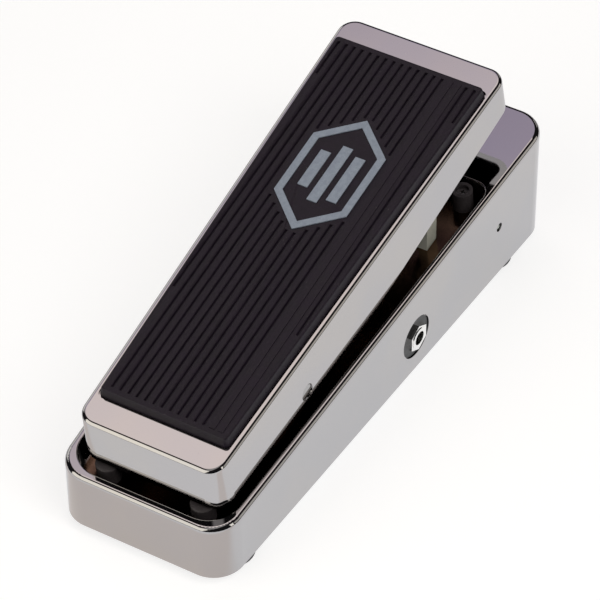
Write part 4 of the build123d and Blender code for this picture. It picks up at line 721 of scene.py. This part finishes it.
@dataclass
class TreadPad(SubAssembly):
    """The ribbed rubber pad: long grooves that stop short of the border and of the emblem."""

    pitch: float = 3.8 * MM
    groove_width: float = 1.15 * MM
    groove_depth: float = 1.15 * MM
    end_border: float = 2.0 * MM
    side_border: float = 1.3 * MM
    emblem_margin: float = 2.6 * MM
    emblem_point: float = 15.0 * MM
    shortest: float = 6.0 * MM
    sharp_angle: float = math.radians(28.0)

    def build(self) -> None:
        """Cuts the grooves with Geometry Nodes and replaces the plain pad."""
        plane = PadPlane.of("tread_pad")
        body = bpy.data.objects.new("pad_body", merged_copy("tread_pad"))
        cutter = bpy.data.objects.new("groove_cutter", self.cutter_mesh())
        lines = bpy.data.objects.new("groove_lines", self.line_mesh(plane))
        for helper in (body, cutter, lines):
            bpy.context.scene.collection.objects.link(helper)
        tree = self.groove_tree()
        modifier = lines.modifiers.new("grooves", "NODES")
        modifier.node_group = tree
        values = {
            "Pad": body,
            "Cutter": cutter,
            "Groove Width": self.groove_width,
            "Groove Depth": self.groove_depth,
            "Tilt": plane.tilt,
            "Rubber": PAD_RUBBER.build(),
        }
        for item in tree.interface.items_tree:
            if item.name in values:
                modifier[item.identifier] = values[item.name]
        graph = bpy.context.evaluated_depsgraph_get()
        mesh = bpy.data.meshes.new_from_object(lines.evaluated_get(graph), depsgraph=graph)
        lines.modifiers.remove(modifier)
        for helper in (body, cutter, lines):
            bpy.data.objects.remove(helper)
        mesh.materials.clear()
        mesh.materials.append(PAD_RUBBER.build())
        for face in mesh.polygons:
            face.use_smooth = True
        mesh.set_sharp_from_angle(angle=self.sharp_angle)
        piece = new_piece("ribbed_pad", mesh, Body.TREADLE)
        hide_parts("tread_pad")

    def stretches(self, plane: PadPlane, across: float) -> list[tuple[float, float]]:
        """Start and end of each groove at a distance across the pad.

        Args:
            plane: the pad's top.
            across: distance of the groove from the middle line.

        Returns:
            The stretches of the groove, leaving out the emblem's field.
        """
        reach = abs(across)
        low = max(plane.low + self.end_border, plane.where(reach + self.side_border))
        high = plane.high - self.end_border
        field_low, field_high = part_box("emblem")
        half_width = field_high.x
        middle = (plane.along(field_low) + plane.along(field_high)) / 2
        half_length = (field_high.y - field_low.y) / 2 / plane.direction.y
        if reach > half_width + self.emblem_margin:
            return [(low, high)]
        share = min(reach, half_width) / half_width
        keep = half_length - self.emblem_point * share + self.emblem_margin
        return [(low, middle - keep), (middle + keep, high)]

    def line_mesh(self, plane: PadPlane) -> bpy.types.Mesh:
        """One point for each groove, with the groove's length as an attribute."""
        places, lengths = [], []
        count = int(plane.half(plane.high) / self.pitch) + 1
        for step in range(-count, count):
            across = (step + 0.5) * self.pitch
            if abs(across) > plane.half(plane.high - self.end_border) - self.side_border:
                continue
            for low, high in self.stretches(plane, across):
                if high - low > self.shortest:
                    places.append(plane.point(across, (low + high) / 2))
                    lengths.append(high - low)
        mesh = bpy.data.meshes.new("groove_lines")
        mesh.from_pydata([tuple(place) for place in places], [], [])
        mesh.attributes.new("groove_length", "FLOAT", "POINT").data.foreach_set("value", lengths)
        return mesh

    @staticmethod
    def cutter_mesh() -> bpy.types.Mesh:
        """Unit groove: one long, with sloping sides and rounded lips, its top a little above the surface."""
        section = [(0.30, -1.0), (0.50, -0.22), (0.60, -0.08), (0.80, 0.0), (1.10, 0.06), (1.10, 0.3)]
        ring = section + [(-x, z) for x, z in reversed(section)]
        shape = bmesh.new()
        ends = [[shape.verts.new((x, y, z)) for x, z in ring] for y in (-0.5, 0.5)]
        for first in range(len(ring)):
            second = (first + 1) % len(ring)
            shape.faces.new((ends[0][first], ends[0][second], ends[1][second], ends[1][first]))
        shape.faces.new(ends[0])
        shape.faces.new(list(reversed(ends[1])))
        bmesh.ops.recalc_face_normals(shape, faces=shape.faces)
        mesh = bpy.data.meshes.new("groove_cutter")
        shape.to_mesh(mesh)
        shape.free()
        return mesh

    @staticmethod
    def groove_tree() -> bpy.types.NodeTree:
        """Geometry Nodes: a cutter on each point, taken out of the pad."""
        tree = bpy.data.node_groups.new("pad_grooves", "GeometryNodeTree")
        face = tree.interface
        face.new_socket("Geometry", in_out="INPUT", socket_type="NodeSocketGeometry")
        face.new_socket("Pad", in_out="INPUT", socket_type="NodeSocketObject")
        face.new_socket("Cutter", in_out="INPUT", socket_type="NodeSocketObject")
        for name in ("Groove Width", "Groove Depth", "Tilt"):
            face.new_socket(name, in_out="INPUT", socket_type="NodeSocketFloat")
        face.new_socket("Rubber", in_out="INPUT", socket_type="NodeSocketMaterial")
        face.new_socket("Geometry", in_out="OUTPUT", socket_type="NodeSocketGeometry")
        graph = Graph(tree)
        given = graph.add("NodeGroupInput").outputs
        length = graph.add("GeometryNodeInputNamedAttribute", {"Name": "groove_length"}, data_type="FLOAT")
        size = graph.add(
            "ShaderNodeCombineXYZ",
            {"X": given["Groove Width"], "Y": length.outputs["Attribute"], "Z": given["Groove Depth"]},
        )
        turn = graph.add("ShaderNodeCombineXYZ", {"X": given["Tilt"]})
        shape = graph.add("GeometryNodeObjectInfo", {"Object": given["Cutter"]})
        placed = graph.add(
            "GeometryNodeInstanceOnPoints",
            {
                "Points": given["Geometry"],
                "Instance": shape.outputs["Geometry"],
                "Rotation": turn.outputs[0],
                "Scale": size.outputs[0],
            },
        )
        cutters = graph.add("GeometryNodeRealizeInstances", {"Geometry": placed.outputs["Instances"]})
        pad = graph.add("GeometryNodeObjectInfo", {"Object": given["Pad"]})
        cut = graph.add("GeometryNodeMeshBoolean", operation="DIFFERENCE")
        graph.feed(cut.inputs[0], pad.outputs["Geometry"])
        graph.feed(cut.inputs[1], cutters.outputs["Geometry"])
        solid = graph.add("GeometryNodeRealizeInstances", {"Geometry": cut.outputs["Mesh"]})
        inputs = {"Geometry": solid.outputs["Geometry"], "Material": given["Rubber"]}
        dressed = graph.add("GeometryNodeSetMaterial", inputs)
        graph.add("NodeGroupOutput", {"Geometry": dressed.outputs["Geometry"]})
        return tree


class Emblem(SubAssembly):
    """The plain hexagon mark on the pad."""

    finishes = {"emblem": EMBLEM_INK}


class PivotWork(SubAssembly):
    """Shaft and bushings that the treadle rocks on."""

    finishes = {"pivot_shaft": SHAFT_CHROME, "pivot_bushings": BLACK_NYLON}


class Underside(SubAssembly):
    """Bottom plate, feet and their screws."""

    finishes = {"bottom_plate": PLATE_STEEL, "rubber_feet": BLACK_RUBBER, "foot_screws": SCREW_STEEL}


class Stops(SubAssembly):
    """Bumpers and pads that end the treadle's travel."""

    finishes = {
        "toe_bumpers": BLACK_RUBBER,
        "bumper_screws": SCREW_STEEL,
        "heel_pads": BLACK_RUBBER,
        "strike_pad": BLACK_RUBBER,
    }


class Sockets(SubAssembly):
    """Signal jacks and the power inlet."""

    finishes = {
        "input_jack": BRIGHT_NICKEL,
        "output_jack": BRIGHT_NICKEL,
        "jack_washers": BLACK_NYLON,
        "jack_nuts": BRIGHT_NICKEL,
        "power_jack": BLACK_NYLON,
        "power_nut": BRIGHT_NICKEL,
    }


class SideLights(SubAssembly):
    """Small lights in both side walls."""

    finishes = {"light_holders": BLACK_NYLON, "side_lights": CLEAR_LENS}


class Control(SubAssembly):
    """Rack, pinion and potentiometer that the treadle drives."""

    finishes = {
        "pot_body": BRIGHT_NICKEL,
        "pot_nut": BRIGHT_NICKEL,
        "pot_shaft": TURNED_BRASS,
        "pinion_gear": BLACK_NYLON,
        "rack_bar": WHITE_NYLON,
        "rack_guide": BLACK_NYLON,
        "guide_screws": SCREW_STEEL,
        "rack_bracket": PLATE_STEEL,
        "bracket_screws": SCREW_STEEL,
        "rack_pin": SHAFT_STEEL,
        "pin_clip": SCREW_STEEL,
    }


class FootSwitch(SubAssembly):
    """The switch under the treadle's toe."""

    finishes = {"foot_switch": SWITCH_PLASTIC, "switch_nuts": BRIGHT_NICKEL, "switch_plunger": BRIGHT_NICKEL}


class Electronics(SubAssembly):
    """Battery, circuit board, its components and the leads."""

    finishes = {
        "battery": BATTERY_WRAP,
        "battery_foam_pad": FOAM,
        "battery_snap": BLACK_NYLON,
        "circuit_board": BOARD_LAMINATE,
        "board_screws": SCREW_STEEL,
        "inductor": COIL_CASE,
        "film_capacitors": FILM_DIP,
        "can_capacitors": CAN_SLEEVE,
        "transistors": BLACK_NYLON,
        "resistors": RESISTOR_LACQUER,
        "battery_leads": INSULATION,
        "jack_leads": INSULATION,
        "power_leads": INSULATION,
        "pot_leads": INSULATION,
        "switch_leads": INSULATION,
    }


def bearing(azimuth: float, elevation: float) -> Vector:
    """Unit vector towards an azimuth (0 is the heel end, 90 the input side) and an elevation, in degrees."""
    turn, lift = math.radians(azimuth), math.radians(elevation)
    return Vector((math.sin(turn) * math.cos(lift), -math.cos(turn) * math.cos(lift), math.sin(lift)))


@dataclass(frozen=True)
class Softbox:
    """A soft rectangular light far from the object.

    The half sizes are tangents of angles. The colour turns into the far colour between the two
    heights of the turn, and the lean darkens the light towards its left edge.
    """

    azimuth: float
    elevation: float
    half_width: float
    half_height: float
    colour: Colour
    strength: float
    far_colour: Colour = (1.0, 1.0, 1.0)
    turn: tuple[float, float] = (-1.0, -0.9)
    lean: float = 0.0
    soft: float = 0.06

    def glow(self, graph: Graph, heading: bpy.types.NodeSocket) -> bpy.types.NodeSocket:
        """Colour that this light gives in a direction.

        Args:
            graph: the world's node tree.
            heading: the direction looked at.

        Returns:
            The light's colour times its strength.
        """
        axis = bearing(self.azimuth, self.elevation)
        right = Vector((0.0, 0.0, 1.0)).cross(axis).normalized()
        up = axis.cross(right)
        facing = graph.maths("MAXIMUM", graph.dot(heading, tuple(axis)), 0.001)
        across = graph.maths("DIVIDE", graph.dot(heading, tuple(right)), facing)
        above = graph.maths("DIVIDE", graph.dot(heading, tuple(up)), facing)
        mask = graph.spread(facing, 0.05, 0.1)
        for value, half in ((across, self.half_width), (above, self.half_height)):
            edge = graph.spread(graph.maths("ABSOLUTE", value), half - self.soft, half, 1.0, 0.0)
            mask = graph.maths("MULTIPLY", mask, edge)
        side = graph.spread(across, -self.half_width, self.half_width, 1.0 - self.lean, 1.0)
        level = graph.maths("MULTIPLY", side, mask)
        share = graph.spread(above, *self.turn)
        tint = graph.blend(share, self.far_colour, self.colour)
        inputs = {0: tint, 1: self.gathered(graph, graph.maths("MULTIPLY", level, self.strength))}
        return graph.add("ShaderNodeVectorMath", inputs, operation="MULTIPLY").outputs[0]

    @staticmethod
    def gathered(graph: Graph, value: bpy.types.NodeSocket) -> bpy.types.NodeSocket:
        """The same value in all three channels."""
        return graph.add("ShaderNodeCombineXYZ", {0: value, 1: value, 2: value}).outputs[0]


@dataclass
class Studio:
    """Camera, pale floor and soft lights."""

    azimuth: float = 30.65
    elevation: float = 43.95
    roll: float = math.degrees(-0.013)
    distance: float = 1.4241
    aim_height: float = 37.15 * MM
    lens: float = 206.8
    floor_half: float = 3.0
    floor_glow: float = 0.72
    floor_tone: float = 0.42
    floor_drop: float = 0.1 * MM
    warm_reach: float = 32.0 * MM
    side_colour: Colour = (0.93, 0.945, 0.975)
    heel_colour: Colour = (0.80, 0.735, 0.71)
    key_power: float = 6.0
    key_size: float = 0.7
    key_distance: float = 1.25
    key_azimuth: float = 62.0
    key_elevation: float = 52.0
    surround: float = 0.012

    softboxes = (
        Softbox(-137.5, 64.0, 0.34, 0.36, (1.18, 1.05, 1.02), 1.0, (0.50, 0.44, 0.58), turn=(-0.22, -0.05)),
        Softbox(-28.0, 31.0, 0.56, 0.52, (1.0, 0.96, 0.86), 1.45),
        Softbox(118.0, 26.0, 0.42, 0.34, (1.0, 0.95, 0.88), 0.75, lean=0.3),
        Softbox(84.0, 30.0, 0.10, 0.42, (1.0, 0.96, 0.88), 1.5),
        Softbox(-112.0, 26.0, 0.30, 0.30, (1.0, 0.98, 0.95), 0.95),
        Softbox(178.0, 22.0, 0.16, 0.18, (1.0, 0.97, 0.93), 0.5),
        Softbox(0.0, 77.0, 0.27, 0.42, (1.0, 0.97, 0.94), 0.42, soft=0.15),
    )

    def build(self) -> None:
        """Builds the camera, the floor, the light and the world."""
        self.camera()
        self.floor()
        self.key_light()
        self.world()
        bpy.context.scene.view_settings.view_transform = "Standard"

    def camera(self) -> None:
        """Places the camera."""
        data = bpy.data.cameras.new("studio_camera")
        data.lens = self.lens
        data.sensor_width = 36.0
        data.clip_end = 50.0
        camera = bpy.data.objects.new("studio_camera", data)
        back = bearing(self.azimuth, self.elevation)
        camera.location = Vector((0.0, 0.0, self.aim_height)) + back * self.distance
        aim = (-back).to_track_quat("-Z", "Y")
        roll = Quaternion((0.0, 0.0, 1.0), math.radians(self.roll))
        camera.rotation_mode = "QUATERNION"
        camera.rotation_quaternion = aim @ roll
        bpy.context.scene.collection.objects.link(camera)
        bpy.context.scene.camera = camera

    def floor(self) -> None:
        """Lays a pale floor under the feet."""
        corners = [(x * self.floor_half, y * self.floor_half, -self.floor_drop) for x, y in ((-1, -1), (1, -1), (1, 1), (-1, 1))]
        mesh = bpy.data.meshes.new("studio_floor")
        mesh.from_pydata(corners, [], [(0, 1, 2, 3)])
        floor = bpy.data.objects.new("studio_floor", mesh)
        bpy.context.scene.collection.objects.link(floor)
        material = bpy.data.materials.new("pale_floor")
        material.use_nodes = True
        shader = next(n for n in material.node_tree.nodes if n.type == "BSDF_PRINCIPLED")
        shader.inputs["Base Color"].default_value = opaque((self.floor_tone,) * 3)
        shader.inputs["Roughness"].default_value = 0.9
        shader.inputs["Specular IOR Level"].default_value = 0.1
        shader.inputs["Emission Strength"].default_value = self.floor_glow
        graph = Graph(material.node_tree)
        graph.feed(shader.inputs["Emission Color"], self.floor_tint(graph))
        under = graph.add("ShaderNodeNewGeometry").outputs["Backfacing"]
        clear = graph.add("ShaderNodeBsdfTransparent").outputs[0]
        mixed = graph.add("ShaderNodeMixShader", {0: under, 1: shader.outputs[0], 2: clear})
        output = next(n for n in material.node_tree.nodes if n.type == "OUTPUT_MATERIAL")
        graph.feed(output.inputs["Surface"], mixed.outputs[0])
        mesh.materials.append(material)

    def floor_tint(self, graph: Graph) -> bpy.types.NodeSocket:
        """Colour of the floor: white to look at, and warmer close to the heel in what mirrors it.

        Args:
            graph: the floor material's node tree.

        Returns:
            The colour that the floor gives off.
        """
        here = graph.add("ShaderNodeTexCoord").outputs["Object"]
        along = graph.add("ShaderNodeSeparateXYZ", {0: here}).outputs["Y"]
        heel = cad_box[0][1]
        near = graph.spread(along, heel - self.warm_reach * 1.5, heel - self.warm_reach)
        near = graph.maths("MULTIPLY", near, graph.spread(along, heel, heel + self.warm_reach / 2, 1.0, 0.0))
        mirrored = graph.blend(near, self.side_colour, self.heel_colour)
        seen = graph.add("ShaderNodeLightPath").outputs["Is Camera Ray"]
        return graph.blend(seen, mirrored, (1.0, 1.0, 1.0))

    def key_light(self) -> None:
        """Hangs a soft light above the heel that mirrors don't show."""
        data = bpy.data.lights.new("key_light", "AREA")
        data.shape = "DISK"
        data.size = self.key_size
        data.energy = self.key_power
        data.color = (1.0, 0.97, 0.93)
        light = bpy.data.objects.new("key_light", data)
        towards = bearing(self.key_azimuth, self.key_elevation)
        light.location = towards * self.key_distance
        light.rotation_mode = "QUATERNION"
        light.rotation_quaternion = (-towards).to_track_quat("-Z", "Y")
        light.visible_glossy = False
        bpy.context.scene.collection.objects.link(light)

    def world(self) -> None:
        """Adds the softboxes to a dark surround, with a pale backdrop behind the object."""
        world = bpy.data.worlds.new("studio_world")
        bpy.context.scene.world = world
        world.use_nodes = True
        tree = world.node_tree
        tree.nodes.clear()
        graph = Graph(tree)
        heading = graph.add("ShaderNodeTexCoord").outputs["Generated"]
        total = (self.surround, self.surround, self.surround * 1.05)
        for softbox in self.softboxes:
            node = graph.add("ShaderNodeVectorMath", {0: total, 1: softbox.glow(graph, heading)}, operation="ADD")
            total = node.outputs[0]
        lit = graph.add("ShaderNodeBackground", {"Color": total})
        pale = graph.add("ShaderNodeBackground", {"Color": (1.0, 1.0, 1.0, 1.0)})
        seen = graph.add("ShaderNodeLightPath").outputs["Is Camera Ray"]
        mixed = graph.add("ShaderNodeMixShader", {0: seen, 1: lit.outputs[0], 2: pale.outputs[0]})
        graph.add("ShaderNodeOutputWorld", {"Surface": mixed.outputs[0]})


def main() -> None:
    """Builds the studio and every sub-assembly in order."""
    logging.basicConfig(level=logging.INFO, format="%(name)s: %(message)s")
    Studio().build()
    assemblies = (
        Castings(), TreadPad(), Emblem(), PivotWork(), Underside(), Stops(), Sockets(), SideLights(),
        Control(), FootSwitch(), Electronics(),
    )
    for assembly in assemblies:
        assembly.dress()
        assembly.build()


if __name__ == "__main__":
    main()
